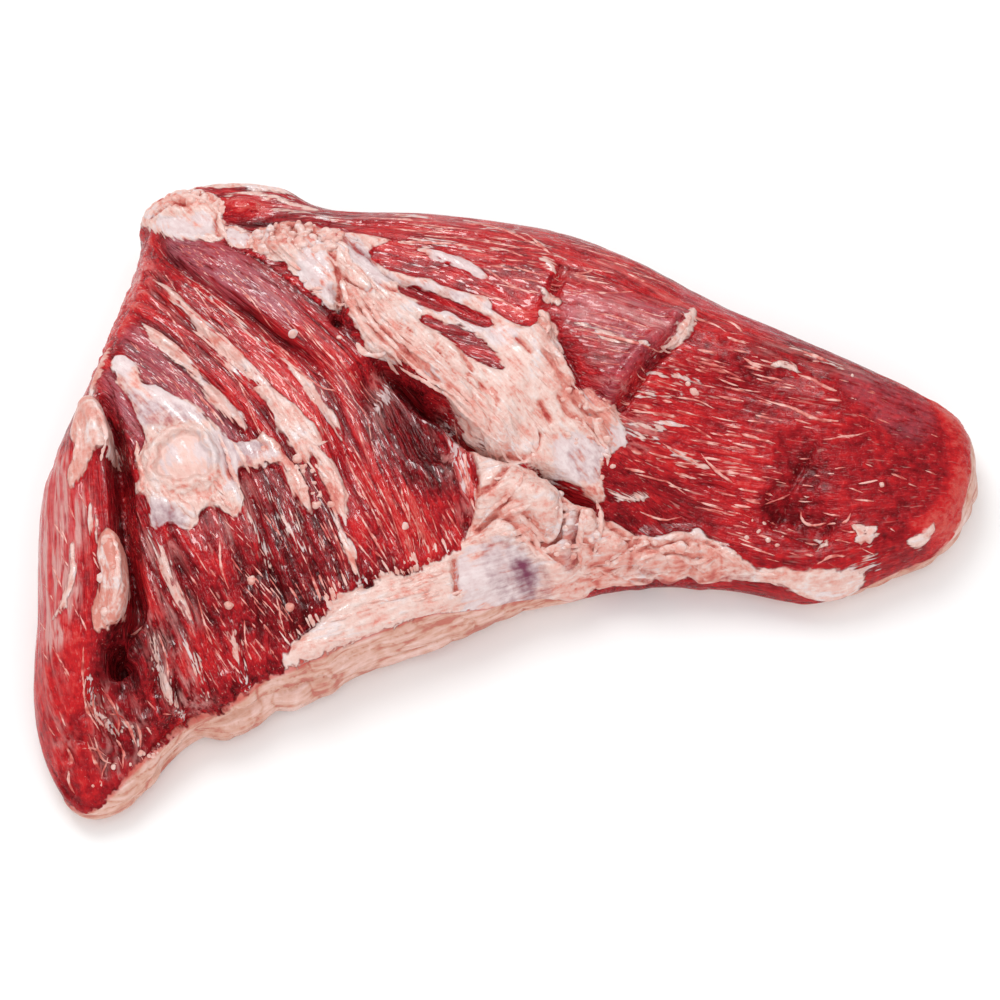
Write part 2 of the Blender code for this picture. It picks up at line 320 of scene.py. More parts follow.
print("depths in a strip, mm:", strip_map(4, [(-9, 0), (9, 0)]).max().round(1), "at most")

# %% Uneven lumps from a repeatable noise
def lattice_noise(points, seed):
    """Smooth noise from -1 to 1 with one lump per unit, the same each time for the same seed."""
    heights = np.random.default_rng(seed).random(4096) * 2 - 1
    points = np.asarray(points, float)
    base = np.floor(points).astype(np.int64)
    share = ease(points - base)
    primes = np.array([73856093, 19349663, 83492791])[: points.shape[1]]
    total = np.zeros(len(points))
    for corner in itertools.product((0, 1), repeat=points.shape[1]):
        weight = np.prod(np.where(corner, share, 1 - share), axis=1)
        total += weight * heights[((base + corner) @ primes) & 4095]
    return total


def lumps(points, seed):
    """Round lumps with sharp creases between them, 0 in a crease and 1 on top."""
    return np.abs(lattice_noise(points, seed)) ** 0.8


print("lumps along a line:", lumps([[0.3, 0.5], [0.8, 0.5], [1.3, 0.5]], 1).round(2))

# %% [markdown]
# ## The grain of the muscle
#
# A tri-tip is two sheets of muscle whose fibres run in different directions, and they meet under the
# seam of fat. A material can only streak along the fibres if it knows their direction. So a few fibres
# are drawn on each sheet, each with a level, and a smooth sheet through the levels gives every place
# its level: that is the distance across the grain, and the length run along the fibre is the distance
# along it. The pair is stored as a UV map named "grain", in millimetres. The rolled edge, a muscle of
# its own, is drawn as a third sheet.

# %% Fibres drawn on each sheet of muscle
FIBRES = {  # sheet: the level across the grain, then the fibre's path
    "left": rows("""
13, -120 92, -104 82, -89 69, -75 55, -62 42, -52 30, -44 18
0, -130 98, -122 83, -108 69, -95 58, -81 45, -68 34, -58 18, -51 2, -43 -16, -34 -36
-16, -136 76, -120 59, -103 42, -88 26, -76 8, -67 -12, -59 -30, -51 -50
-32, -143 52, -126 41, -109 26, -96 10, -86 -10, -77 -34, -68 -58
-48, -142 32, -128 18, -115 2, -104 -18, -96 -38, -88 -62, -82 -80
-62, -132 -8, -123 -28, -113 -50, -103 -72, -96 -88
-74, -128 -36, -120 -58, -112 -78, -106 -95
13, -41 9, -37 -2, -30 -18, -22 -36
24, -28 14, -22 -2, -16 -18, -12 -32
"""),
    "right": rows("""
0, -105 112, -60 109, -20 107, 20 98, 60 78, 100 58, 142 34
-12, -80 99, -42 97, -2 89, 30 77, 60 61, 95 46, 130 34, 152 26
-24, -52 85, -20 77, 5 67, 30 57, 60 45, 95 34, 130 24, 156 16
-36, -46 65, -25 55, 0 42, 25 34, 55 27, 90 18, 125 12, 158 8
-50, -6 34, 25 18, 50 9, 80 1, 110 -3, 152 -4
-64, 30 2, 52 -10, 74 -18, 100 -21, 130 -19, 152 -16
-76, 44 -14, 62 -28, 86 -36, 108 -38, 138 -30
"""),
    "rolled edge": rows("""
0, -128 34, -127 0, -122 -40, -121 -80, -112 -104
-12, -144 34, -141 0, -136 -40, -133 -80, -126 -112
-24, -155 30, -153 0, -149 -40, -146 -80, -138 -118
-36, -166 20, -165 -10, -162 -50, -158 -90, -148 -120
"""),
}
# the rest of the plan belongs to the sheet on the right
SHEET_LOOPS = table("""
rolled edge: -150 44, -144 34, -138 14, -133 -3, -130 -30, -126 -46, -124 -58, -127 -68, -128 -80,
  -122 -87, -116 -96, -110 -108, -130 -135, -180 -130, -180 20
left: -150 44, -140 120, -128 104, -118 92, -100 86, -88 78, -72 62, -60 52, -50 38, -38 30, -24 15,
  -12 2, -8 -20, -14 -60, -60 -90, -104 -112, -116 -96, -122 -87, -128 -80, -127 -68, -124 -58,
  -126 -46, -130 -30, -133 -3, -138 14, -144 34
""")
print("fibres drawn:", sum(len(paths) for paths in FIBRES.values()))

# %% A smooth sheet through the fibres
FIBRE_STEP = 12.0
FIBRE_WAYS = {"right": (0.97, -0.24), "left": (0.5, -0.86)}  # roughly the way the fibres run


def smooth_sheet(spots, values):
    """A thin-plate sheet through values at spots, over the whole plan."""

    def bend(a, b):
        gap = np.hypot(a[:, None, 0] - b[:, 0], a[:, None, 1] - b[:, 1])
        return gap**2 * np.log(np.maximum(gap, 1e-9))

    flat = np.hstack([np.ones((len(spots), 1)), spots])
    system = np.block([[bend(spots, spots), flat], [flat.T, np.zeros((3, 3))]])
    weights = np.linalg.solve(system, np.concatenate([values, np.zeros(3)]))
    found = []
    for some in np.array_split(PLAN_PLACES.reshape(-1, 2), 20):
        plane = np.hstack([np.ones((len(some), 1)), some]) @ weights[-3:]
        found.append(bend(some, spots) @ weights[:-3] + plane)
    return np.concatenate(found).reshape(PLAN_SHAPE)


def grain_of_sheet(sheet):
    """Distance along and across the fibres of one sheet, in millimetres."""
    spots, along, across = [], [], []
    toward = np.array(FIBRE_WAYS.get(sheet, FIBRE_WAYS["left"]))
    for level, *path in FIBRES[sheet]:
        line = smooth_curve(path, FIBRE_STEP)
        run = np.concatenate([[0], np.cumsum(np.linalg.norm(np.diff(line, axis=0), axis=1))])
        spots.append(line)
        along.append(line[0] @ toward + run)
        across.append(np.full(len(line), level))
    spots = np.vstack(spots)
    return np.stack([smooth_sheet(spots, np.concatenate(values)) for values in (along, across)])


def draw_sheets():
    """0 for the right sheet, 1 for the left one and 2 for the rolled edge."""
    numbers = np.zeros(PLAN_SHAPE, int)
    numbers[inside_map(np.array(SHEET_LOOPS["left"], float))] = 1
    numbers[inside_map(np.array(SHEET_LOOPS["rolled edge"], float))] = 2
    return numbers


GRAIN = np.stack([grain_of_sheet(sheet) for sheet in ("right", "left", "rolled edge")])
SHEETS = draw_sheets()
print("share of each sheet:", [round(float((SHEETS == number).mean()), 2) for number in range(3)])

# %% [markdown]
# Thin fat follows the muscle below it, but the thick band and the near rim are layers of their own.
# Their cords run one way all over, which is drawn as one direction for each of the two regions. The
# result is a second UV map, "flow".

# %% The flow of the fat
FAT_FLOW = {  # the way the cords of fat run in a region
    "band": (0.64, -0.77),
    "near rim": (0.95, 0.31),
}
NEAR_LOOP = (
    (-92, -92), (-72, -60), (-50, -45), (-30, -39), (-17, -34), (-13, -6), (4, -5), (16, -10),
    (30, -16), (60, -20), (90, -34), (130, -24), (165, -10), (165, -60), (-60, -95),
)


def fat_flow(direction):
    """Distance along and across the cords of fat that run in one direction."""
    x, y = direction
    return np.stack([PLAN_PLACES @ (x, y), PLAN_PLACES @ (-y, x)])


def draw_flow_regions():
    """Which flow the fat follows: the grain below it, the band's (3) or the near rim's (4)."""
    regions = np.where(SHEETS == 0, 3, SHEETS)
    regions[inside_map(np.array(NEAR_LOOP, float))] = 4
    return regions


FLOW = np.concatenate([GRAIN, [fat_flow(direction) for direction in FAT_FLOW.values()]])
FLOW_REGIONS = draw_flow_regions()
print("flows:", len(FLOW))

# %% [markdown]
# ## Fat, skins and colour, drawn on the plan
#
# Three things cover the red muscle. Fat is thick and cream. Silverskin is a thin bluish sheet that
# wraps a muscle. A veil is thinner still: the meat shows through it, greyed and pink. Each is a set
# of patches and of strips, which start with their width.
#
# The strips of fat come in three kinds. Thick ones cover the meat, half thin ones let some red
# through, and thin ones are shredded along the grain. One number, how thin, drives both the torn edge
# and the colour, so the three kinds need no materials of their own.

# %% Patches of fat
FAT_PATCHES = table("""
band and field: -91 81, -92 86, -90 93, -80 95, -72 93, -62 91, -52 88, -42 85, -46 83, -49 80, -48 76,
  -44 72, -38 69.5, -30 67, -22 63, -14 59.5, -8 57, -5 52, 0 47, 4 44, 8 44, 10 48, 11 51, 13.5 49,
  14 43, 16.5 39, 16.5 34, 19 29, 22 26, 22 21, 26 22, 31 18, 37 16, 37 12, 39 8, 40 4, 36 1, 32 -2,
  31 -8, 32 -13, 30 -16, 26 -13, 21 -10, 14 -7, 8 -5.5, 4 -6.5, -1 -5.5, -5.5 -2.5, -10 2, -15 6.5,
  -19 13, -24 20, -30 26, -36 31.5, -42 35, -48 36, -51 42, -55 50, -58 57, -62 54, -66 58, -71 63,
  -75 69, -80 75, -86 79
blunt corner: -131 101, -132 107, -127 113, -118 112.5, -110 111, -105 108, -103 103, -103 98, -101 94,
  -102 89, -106 87.5, -113 89, -120 90, -126 95
patch by the corner: -101 95, -94 93, -91 88, -93 83, -97 83, -101 88
round the disc: -137 38, -132 37, -128 31, -126 26, -120 24, -114 20, -108 17, -103 12, -98 6, -93 2.5,
  -88 3, -84 6, -80 3, -77 -2, -76 -6, -82 -6, -86 -8, -91 -7, -92 -13, -89 -19, -91 -25, -96 -24,
  -101 -21, -104 -25, -107 -29.5, -113 -28, -119 -30, -121 -24, -122 -18, -126 -16, -125 -10, -127 -5,
  -124 0, -124 6, -127 12, -130 19, -134 26, -137 32
big patch of the left sheet: -88 24, -82 24, -76 19, -70 13, -66 8, -64 2, -67 -2, -68 -6, -71 -4,
  -75 2, -79 8, -81 14, -85 20
near strip: -75 -76, -73 -71, -69 -66, -66 -64, -61 -60, -59 -56, -56 -52, -53 -50, -48 -50, -44 -47,
  -40 -46, -34 -45, -28 -42, -22 -39, -17 -36, -14 -31, -10 -26, -6 -30, -10 -52, -20 -58, -36 -64,
  -52 -70, -65 -75
knot and near rim: -17 -36, -14 -30, -12 -20, -11 -10, -13.5 0.6, -10 3.2, -3 -1.8, 3 -5.8, 9 -7, 14 -9,
  17 -14, 22 -17, 27 -16, 29 -20, 34 -22, 38 -24, 44 -27, 50 -27, 55 -25, 60 -25, 64 -23, 68 -27,
  75 -31, 81 -35, 86 -38, 78 -41, 60 -40, 45 -41, 30 -43, 15 -47, 0 -52, -12 -57, -20 -58, -18 -45
lump on the rolled edge: -136 -34, -132 -33, -129 -38, -128 -46, -127 -54, -128 -62, -132 -66, -136 -67,
  -137 -60, -135 -50, -137 -42
head of the rolled edge: -146 24, -141 18, -137 9, -133 0, -136 -3, -140 -2, -143 -8, -147 -15, -149 -9,
  -147 0, -150 8, -149 16
""")
print("patches of fat:", len(FAT_PATCHES))

# %% Strips of fat
# whole and thick: width, then the path
THICK_STRIPS = table("""
middle strip: 6, -68 2, -63 -6, -59 -15, -56 -27
strip beside it: 5, -77 -3, -74 -8, -71 -15, -67 -24
tag by the flap: 4, 10 52, 13 47, 14 41, 11 37
small tag: 3.4, 11 61, 14 58, 17 53
corner of the flap: 4.6, 54 40, 58 43, 61 47, 64 56
rim of the lobe: 3.4, 78 -36.5, 88 -38.5, 98 -39.5, 108 -40, 116 -38
lump on the rim of the lobe: 6, 92 -40, 101 -41.5, 110 -41, 120 -37
chip on the rim: 3.4, 135 -28, 139 -26, 144 -22
above the rolled edge: 3, -139.5 43, -141.5 37, -143.5 30, -144.5 23
""")
# thinner, so that some red shows through
HALF_THIN_STRIPS = table("""
upper strip: 2.6, -126 70, -121 66, -116 60, -111 54, -106 49, -101 44
wide part of the upper strip: 6.4, -111 53, -106 47, -100 41, -94 34, -88 28, -81 22
second strip: 5, -128 50, -122 44, -115 37, -109 30, -104 24
end of the second strip: 6.6, -107 28, -101 21, -95 14, -90 7
upper middle strip: 4.5, -79 36, -72 28, -67 20, -61 12, -57 3
fork: 3, -60 -20, -57 -30, -53 -39, -49 -52
far silver: 5, -32 81, -23 77, -16 73, -8 67
flakes by the field: 3, 34 -12, 39 -14, 46 -13
bit in the lobe: 3.4, 116 -24, 118 -28, 118 -31
second bit in the lobe: 3, 124 -25, 121 -28, 121 -31
shoulder patch: 3.4, 90 33, 95 34, 98 31, 96 30
flakes of the far edge: 3.4, -122 111, -110 114, -98 114, -84 111, -74 108
second flakes of the far edge: 3, -106 107, -94 109, -82 106, -68 103
streak of the rolled edge: 3, -141 -22, -139 -30, -137 -38
second streak of the rolled edge: 2.4, -146 -36, -145 -46, -147 -56, -151 -62
""")
# shredded, with as much red in them as fat
THIN_STRIPS = table("""
corner strip: 2, -116 76, -110 69, -104 61, -96 52, -86 42, -77 33
red strip's fork: 3, -75 4, -68 0, -63 -2
silver by the knot: 3.4, -24 15, -19 6.6, -17 -3, -15.2 -11, -16 -16
silver in the hollow: 2.6, -42.5 31, -42.5 25, -44 19, -47 12
thin strip: 1.8, -90 -20, -85 -31, -80 -42
thin strip beside it: 1.6, -80 -18, -75 -29, -67 -40
third thin strip: 1.4, -76 -18, -73 -25, -69 -34
near strip of the grain: 2.4, -92 -62, -90 -73, -86 -83
strip above the near corner: 3.4, -117 -66, -115 -76, -112 -86, -106 -94
strip beside that: 2.2, -108 -66, -104 -76, -100 -87
strip below the disc: 3, -120 -30, -115 -42, -110 -54, -105 -62
far line: 1.8, -38 85, -25 84, -12 81, 0 79
far line at the rim: 1.8, -46 102, -35 100, -24 95
second far line: 1.4, -16 98, -6 92, 2 91
third far line: 1.5, 5 90, 10 84, 14 79, 19 75
line on the flap: 2, 22 46, 33 41, 42 38, 50 36
line below the flap: 2, 46 29, 56 29, 66 27
second line below it: 1.8, 42 20, 50 22, 58 21
line by the field: 2.2, 36 12, 46 10, 56 11, 62 10
second line by the field: 1.8, 36 8, 46 6, 56 2, 68 -4
tag above the flap: 3, 12 76, 14 72, 16 68
line past the lump: 2, 114 -38, 120 -35.5, 126 -33.5
third bit in the lobe: 2.4, 103 -27, 105 -30, 104 -33
veins of the shoulder: 2.2, 97 42, 104 39, 110 36, 114 34
streak of the tip: 2, -138 -80, -136 -90, -131 -96, -127 -98
second streak of the tip: 2, -131 -88, -126 -95, -121 -102
third flakes of the far edge: 2.4, -90 103, -80 101, -68 98, -56 96
""")
STRIPS = {0.0: THICK_STRIPS, 0.45: HALF_THIN_STRIPS, 1.0: THIN_STRIPS}  # how thin: the strips
print("strips of fat:", sum(len(strips) for strips in STRIPS.values()))

# %% [markdown]
# The cover isn't even. Muscle shows through two windows in the field of fat. Where the fat thins out to
# silverskin it turns bluish, and where dark blood lies right below it looks bruised. Fat that was
# pressed against cut meat is flushed pink. All of these are changes of the fat's colour only, so they
# are drawn as patches with a strength and a soft edge.

# %% Windows, silverskin, bruises and flush
# dark meat that shows through a thin skin: strength, then the patch
BRUISES = table("""
by the knot: 1, -1 -38, 3 -36, 8 -39, 9 -44, 4 -46, 0 -43
core of it: 1.6, 1 -38, 4 -38, 7 -41, 6 -44, 3 -42
round it: 0.45, -10 -34, 2 -32, 12 -38, 14 -46, 2 -50, -8 -46
right of the knot: 0.5, 17 -22, 22 -20, 24 -30, 20 -38, 16 -36, 19 -28
near rim: 0.5, 44 -34, 58 -36, 74 -36, 84 -37, 70 -40, 50 -39
far side of the band: 0.45, -62 88, -50 80, -40 68, -24 62, -12 56, -20 57, -38 65, -50 72, -60 82
beside the disc: 0.55, -98 8, -88 3, -82 2, -86 -6, -92 -6, -96 0
above the disc: 0.5, -134 30, -126 20, -112 16, -104 11, -112 9, -124 8, -131 18
below the disc: 0.6, -121 -21, -112 -23, -107 -29, -119 -31
foot of the field: 0.35, 20 2, 30 0, 31 -10, 24 -11, 18 -4
""")
# muscle that shows through the fat field
MEAT_WINDOWS = table("""
far window: -38 64, -33 64, -25 60, -15 54, -7 49, -5 46, -9 44.5, -15 47, -22 52, -25 51.5, -32 56,
  -38 60
near window: -31 49, -28 50, -24 47, -18 46, -10 40, -5 33, -2 28, -5 26.5, -11 30, -17 35, -24 42,
  -30 46
""")
SILVER_PATCHES = table("""
blunt corner: -127 100, -117 101, -108 101, -105 97, -106 91, -113 90, -120 91, -125 95
patch by the corner: -101 94, -94 92, -92 86, -96 83, -101 88
top of the band: -74 77, -69 79, -62 72, -61 64, -61 57, -66 60, -72 66, -74 71
far side of the band: -70 91, -60 90, -52 87, -50 78, -45 71, -36 67.5, -22 62, -10 57, -3 50, 3 42,
  2 36, -4 36, -8 42, -4 47, -8 52, -18 57, -27 62, -38 65, -45 65, -54 72, -60 80, -66 86
between the windows: -35 55, -26 50, -18 47, -10 42, -6 44, -14 48, -24 53
above the disc: -137 38, -131 36, -127 28, -120 24, -112 19, -104 13, -106 9, -114 10, -122 8, -126 10,
  -130 19, -134 27
beside the disc: -101 8, -94 3, -88 3, -82 2, -78 -3, -84 -5, -90 -6, -92 -14, -96 -16, -99 -6
below the disc: -121 -20, -112 -22, -108 -28, -119 -30
near rim: -17 -37, -8 -33, 0 -34, 5 -37, 11 -41, 4 -46, -6 -51, -15 -54, -18 -46
foot of the field: 14 4, 24 6, 30 2, 31 -8, 27 -12, 18 -7, 14 -2
end of the field: 33 9, 38 8, 40 4, 36 2, 33 4
corner of the field: 24 22, 30 18, 29 15, 24 15
by the knot: -27 17, -20 14, -14 2, -12 -10, -13 -18, -19 -18, -21 -4, -24 8
in the hollow: -46 33, -40 33, -40 22, -45 10, -50 10, -46 22
far silver: -30 81, -20 80, -8 70, -12 66, -22 72, -30 76
""")
# fat stained pink by the meat
FLUSHED_FAT = table("""
lump on the rolled edge: 1.4, -138 -30, -130 -32, -125 -54, -130 -70, -140 -64
head of the rolled edge: 0.8, -152 26, -144 44, -137 44, -138 20, -130 -4, -148 -18
near rim: 0.4, 24 -14, 50 -22, 88 -34, 130 -28, 130 -46, 20 -46
rim of the field: 0.5, 10 54, 18 44, 26 24, 40 14, 34 -4, 24 8, 14 24, 8 44
crevice side: 0.35, -60 60, -48 58, -30 34, -10 14, 4 0, 0 -6, -24 14, -50 34
upper edge of the knot: 0.4, -14 -26, 0 -18, 6 -24, 16 -30, 22 -24, 14 -36, 0 -30
near corner: 0.5, -145 -126, -128 -108, -104 -96, -110 -106, -128 -124
top of the band: 0.35, -94 80, -90 96, -70 96, -58 84, -64 78, -78 82
strips of the left sheet: 0.35, -128 74, -60 20, -52 -30, -76 -30, -120 40
""")
print("patches in the fat:", len(SILVER_PATCHES) + len(BRUISES) + len(FLUSHED_FAT))

# %% [markdown]
# The muscle isn't evenly red either. Thin skins still cling to it: a haze is torn into streaks, and a
# veil is a whole sheet. Where the knife went across the grain the face is calm, which means mottled
# instead of streaked. Some meat is darker, and the hollows, folds and cuts are painted darker as
# painted shade. Fresh faces are bright, and one strip is painted lighter as painted light against a
# groove's shade.

# %% Haze, veils and calm faces
# thin pale skin, torn into streaks: strength, then the patch
HAZES = table("""
left rim: 0.9, -140 92, -134 94, -128 80, -124 72, -132 64, -142 64
between the strips: 0.3, -134 68, -126 70, -112 56, -104 44, -108 42, -120 54, -130 60
rolled edge: 2.2, -159 -4, -150 -2, -143 -12, -141 -34, -142 -52, -146 -68, -152 -72, -158 -60, -162 -30
head of the rolled edge: 1, -156 20, -146 40, -142 26, -140 6, -150 -6, -158 -2
tip: 0.6, -156 -72, -148 -74, -144 -96, -140 -108, -148 -108, -156 -92
folds of the tip: 0.6, -136 -86, -126 -86, -118 -100, -124 -112, -134 -108
left of the middle: 1, -122 -30, -114 -31, -108 -50, -102 -62, -106 -66, -114 -58, -120 -46
near corner: 0.8, -120 -62, -112 -62, -104 -78, -98 -88, -106 -92, -114 -86
by the hollow: 1, -26 14, -20 14, -16 0, -13 -16, -10 -26, -15 -26, -20 -14, -23 0
in the hollow: 0.7, -48 30, -42 30, -41 20, -44 6, -49 6, -47 18
below the corner: 0.6, -96 78, -86 72, -76 62, -80 58, -92 68
above the flap: 0.4, 18 72, 30 74, 46 70, 56 62, 60 54, 52 56, 40 62, 24 63, 18 60
flap: 0.8, 22 57, 32 60, 46 57, 55 48, 49 41, 40 35, 31 38, 24 47
foot of the flap: 0.8, 27 32, 34 31, 40 22, 36 19, 30 24
shoulder: 0.6, 84 44, 100 44, 118 37, 126 30, 116 30, 100 36, 86 38
by the field: 0.6, 30 16, 44 14, 52 8, 48 2, 38 2, 32 6
far edge: 0.5, -90 108, -60 106, -20 102, 14 98, 30 90, 10 90, -20 94, -60 98, -84 100
round the disc: 0.6, -96 -14, -90 -8, -86 -18, -88 -30, -96 -34, -100 -24
""")
# meat cut across its grain: mottled, with hardly any streaks
CALM = table("""
lobe: 1, 66 50, 86 42, 108 34, 140 40, 170 20, 170 -30, 110 -50, 84 -38, 76 -18, 80 10, 64 30
tip: 0.9, -165 -66, -140 -66, -128 -84, -118 -96, -112 -112, -150 -130, -165 -90
rolled edge: 0.5, -165 30, -142 28, -135 -10, -132 -66, -165 -70
flap: 0.6, 18 58, 30 62, 46 60, 60 50, 52 40, 40 30, 30 26, 22 40
foot of the right sheet: 0.4, 34 0, 60 -6, 76 -18, 72 -28, 36 -26
""")
# strength, then the patch
VEILS = table("""
membrane strip: 1, -122 91, -112 90, -103 86, -96 81, -90 75, -83 67, -76 58, -72 50, -78 50, -86 56,
  -98 62, -110 73, -120 83
purple strip: 0.65, -136 45, -130 50, -120 38, -108 26, -98 14, -93 4, -96 3, -101 11, -108 17, -118 21,
  -126 28, -131 37
strip left of the disc: 0.85, -141 30, -137 32, -131 20, -126 8, -124 1, -127 2, -132 12, -138 22
rolled edge: 0.35, -158 -2, -150 -4, -146 -14, -144 -30, -143 -48, -146 -62, -155 -64, -160 -40,
  -161 -20
flap: 0.6, 20 58, 30 61, 42 59, 54 52, 58 46, 50 40, 42 38, 30 42, 20 48
rim of the flap: 0.6, 33 17, 38 22, 43 29, 49 36, 57 45, 62 52, 58 54, 50 46, 42 39, 36 31, 31 22
far shoulder: 0.5, 60 62, 75 56, 95 46, 118 38, 120 44, 98 56, 76 68, 62 74
far edge: 0.15, -88 100, -60 97, -20 92, 0 92, 8 101, -20 108, -60 111, -90 110
end of the lobe: 0.4, 118 34, 140 26, 146 14, 136 6, 122 16, 114 26
""")
print("patches of skin:", len(HAZES) + len(VEILS), "calm:", len(CALM))

# %% Dark meat and painted shade, bright meat and painted light, marbled meat
# dark meat, and painted shade in the hollows, folds and pocket: strength, then the patch
DARK_MEAT_AND_SHADE = table("""
below the corner muscle: 0.8, -97 98, -86 98, -74 95, -80 91, -93 93
fold of the tip: 0.5, -136 -84, -128 -88, -120 -98, -119 -106, -128 -108, -134 -98
spot of the tip: 1.2, -147 -110, -143 -110, -139 -116, -142 -119, -146 -116
core of the hollow: 0.65, -41 10, -34 14, -27 4, -24 -8, -27 -13, -34 -5
hollow by the crevice: 0.5, -50 14, -46 26, -41 30, -33 22, -24 12, -20 2, -21 -14, -28 -19, -36 -10,
  -44 0
pocket: 1, -136 -76, -133 -68, -128 -62, -122 -66, -120 -74, -120 -84, -126 -88, -133 -85
beside the pocket: 0.5, -128 -60, -116 -62, -110 -78, -114 -94, -124 -92
hollow of the lobe: 0.9, 84 -14, 92 -15, 101 -19, 110 -24, 104 -27, 94 -24, 86 -20
dip across the lobe: 0.4, 96 -2, 104 2, 108 -6, 102 -16, 94 -12
near part of the left sheet: 0.5, -104 -26, -96 -26, -88 -22, -78 -22, -68 -26, -58 -32, -52 -46,
  -62 -58, -72 -64, -84 -60, -96 -48
foot of the right sheet: 0.6, 34 -2, 50 -4, 62 -12, 70 -24, 60 -25, 46 -26, 36 -20, 32 -12
""")
# bright meat; below the membrane strip it is painted light that lifts the shade of the groove there
BRIGHT_MEAT_AND_LIGHT = table("""
far muscle: 0.45, -60 104, 0 98, 60 66, 90 46, 60 40, 20 50, -10 62, -50 88
rolled edge: 1.4, -161 4, -147 -4, -143 -30, -145 -62, -158 -68, -164 -30
left of the lobe: 0.45, 32 0, 36 24, 60 34, 80 20, 84 -10, 80 -30, 40 -20
corner side: 1, -134 98, -127 97, -122 80, -126 66, -134 50, -143 30, -150 30, -142 66
below the membrane strip: 0.9, -124 84, -110 72, -96 60, -82 47, -66 32, -72 32, -88 43, -102 55,
  -114 66, -126 78
by the upper strip: 0.8, -122 72, -114 70, -104 56, -100 50, -108 56, -118 66
between the strips: 0.5, -126 56, -110 46, -92 26, -72 2, -66 10, -80 34, -96 52, -112 70
middle of the near side: 1, -46 -14, -34 -16, -20 -18, -14 -28, -24 -40, -36 -42, -42 -30
streak past the hollow: 0.8, -53 6, -49 4, -44 -10, -38 -16, -46 -14, -52 -4
foot of the crevice: 1, -18 8, -13 6, -11 -8, -12 -20, -15 -12
tip: 0.8, -158 -66, -142 -64, -137 -80, -136 -100, -134 -118, -146 -116, -157 -90
rim of the lobe: 1.6, 130 40, 144 28, 149 14, 150 -4, 145 -16, 136 -24, 158 -20, 168 8, 158 34
above the flap: 0.7, 14 86, 30 84, 44 76, 40 70, 22 74
by the tag: 0.7, -4 62, 10 64, 13 56, 8 48, 0 50
corner muscle: 1.6, -103 104, -97 108, -88 106, -87 100, -96 98
stripe of the rolled edge: 0.9, -144 -7, -139 -8, -138 -30, -138 -60, -141 -60, -142 -30
head of the near window: 0.7, -48 83, -41 84, -37 76, -42 72, -46 76
""")
MARBLING = table("""
lobe: 1, 36 26, 60 44, 90 38, 120 26, 150 12, 150 -14, 120 -30, 90 -36, 66 -24, 40 -10
middle of the near side: 0.9, -60 -8, -44 -6, -30 -12, -16 -20, -24 -40, -44 -46, -58 -34
far muscle: 0.6, -90 110, -50 112, 0 106, 50 84, 40 66, 0 60, -40 72, -50 88
left sheet: 0.6, -130 96, -100 80, -60 40, -50 0, -60 -60, -100 -88, -120 -60, -136 20
""")
print("patches of meat:", len(DARK_MEAT_AND_SHADE) + len(BRIGHT_MEAT_AND_LIGHT) + len(MARBLING))


# %% The maps on the plan
def thinness():
    """How thin the fat is at each square: 0 in patches and thick strips, up to 1 in thin strips."""
    found, deeper = 0, deepest(FAT_PATCHES.values())
    for thin, strips in STRIPS.items():
        depth = deepest(strips=strips.values())
        found = found + (thin - found) * ease(0.5 + (depth - deeper) / 2) * (depth > -REACH)
        deeper = np.maximum(deeper, depth)
    return found


def weighted(patches, softness):
    """The strongest of several patches at each square, fading over `softness` at their edges."""
    found = np.zeros(PLAN_SHAPE)
    for weight, *points in patches.values():
        found = np.maximum(found, weight * ease(0.5 + patch_map(points) / softness))
    return found


every_strip = [strip for strips in STRIPS.values() for strip in strips.values()]
under_fat = deepest(FAT_PATCHES.values(), every_strip)
PLAN = {  # the second number is how many millimetres an edge fades over
    "pale": np.minimum(under_fat, -deepest(MEAT_WINDOWS.values())),
    "silver": ease(0.5 + deepest(SILVER_PATCHES.values()) / 4),
    "bruise": weighted(BRUISES, 5),
    "veil": weighted(VEILS, 5),
    "dark": weighted(DARK_MEAT_AND_SHADE, 7),
    "bright": weighted(BRIGHT_MEAT_AND_LIGHT, 7),
    "marble": weighted(MARBLING, 12),
    "haze": weighted(HAZES, 7),
    "calm": weighted(CALM, 14),
    "flush": weighted(FLUSHED_FAT, 8),
}
PLAN["thin"] = thinness()
print("maps:", ", ".join(PLAN))

# %% [markdown]
# ## The body of meat
#
# The plain solid has too few faces for fibres and beads of fat. A voxel remesh gives it an even net of
# small faces without changing its form, and a little smoothing takes the solid's facets away. Then the
# relief is laid on by moving the points, so that the shade in a crease is real. The flat underside
# needs no such net, and a few large faces replace it later.

# %% A fine net over the solid
NET = 0.00074
SMOOTHING = 6


def fine_body(net):
    """The solid as one fine closed mesh."""
    copy = add_object("fine_body", solid.data.copy())
    build = bmesh.new()
    build.from_mesh(copy.data)
    bmesh.ops.remove_doubles(build, verts=build.verts, dist=1e-6)
    build.to_mesh(copy.data)
    build.free()
    remesh = copy.modifiers.new("net", "REMESH")
    remesh.mode = "VOXEL"
    remesh.voxel_size = net
    smooth = copy.modifiers.new("smooth", "SMOOTH")
    smooth.factor = 0.5
    smooth.iterations = SMOOTHING
    found = bpy.data.meshes.new_from_object(copy.evaluated_get(bpy.context.evaluated_depsgraph_get()))
    bpy.data.objects.remove(copy)
    return found


def each(items, name, size=1, kind=np.int32):
    """One property of every point, corner or face, as `size` numbers each."""
    found = np.empty(len(items) * size, kind)
    items.foreach_get(name, found)
    return found if size == 1 else found.reshape(-1, size).astype(float)


body_mesh = fine_body(NET)
points = each(body_mesh.vertices, "co", 3, np.float32) / MM
normals = each(body_mesh.vertex_normals, "vector", 3, np.float32)
plan = points[:, :2]
print("points in the net:", len(points))

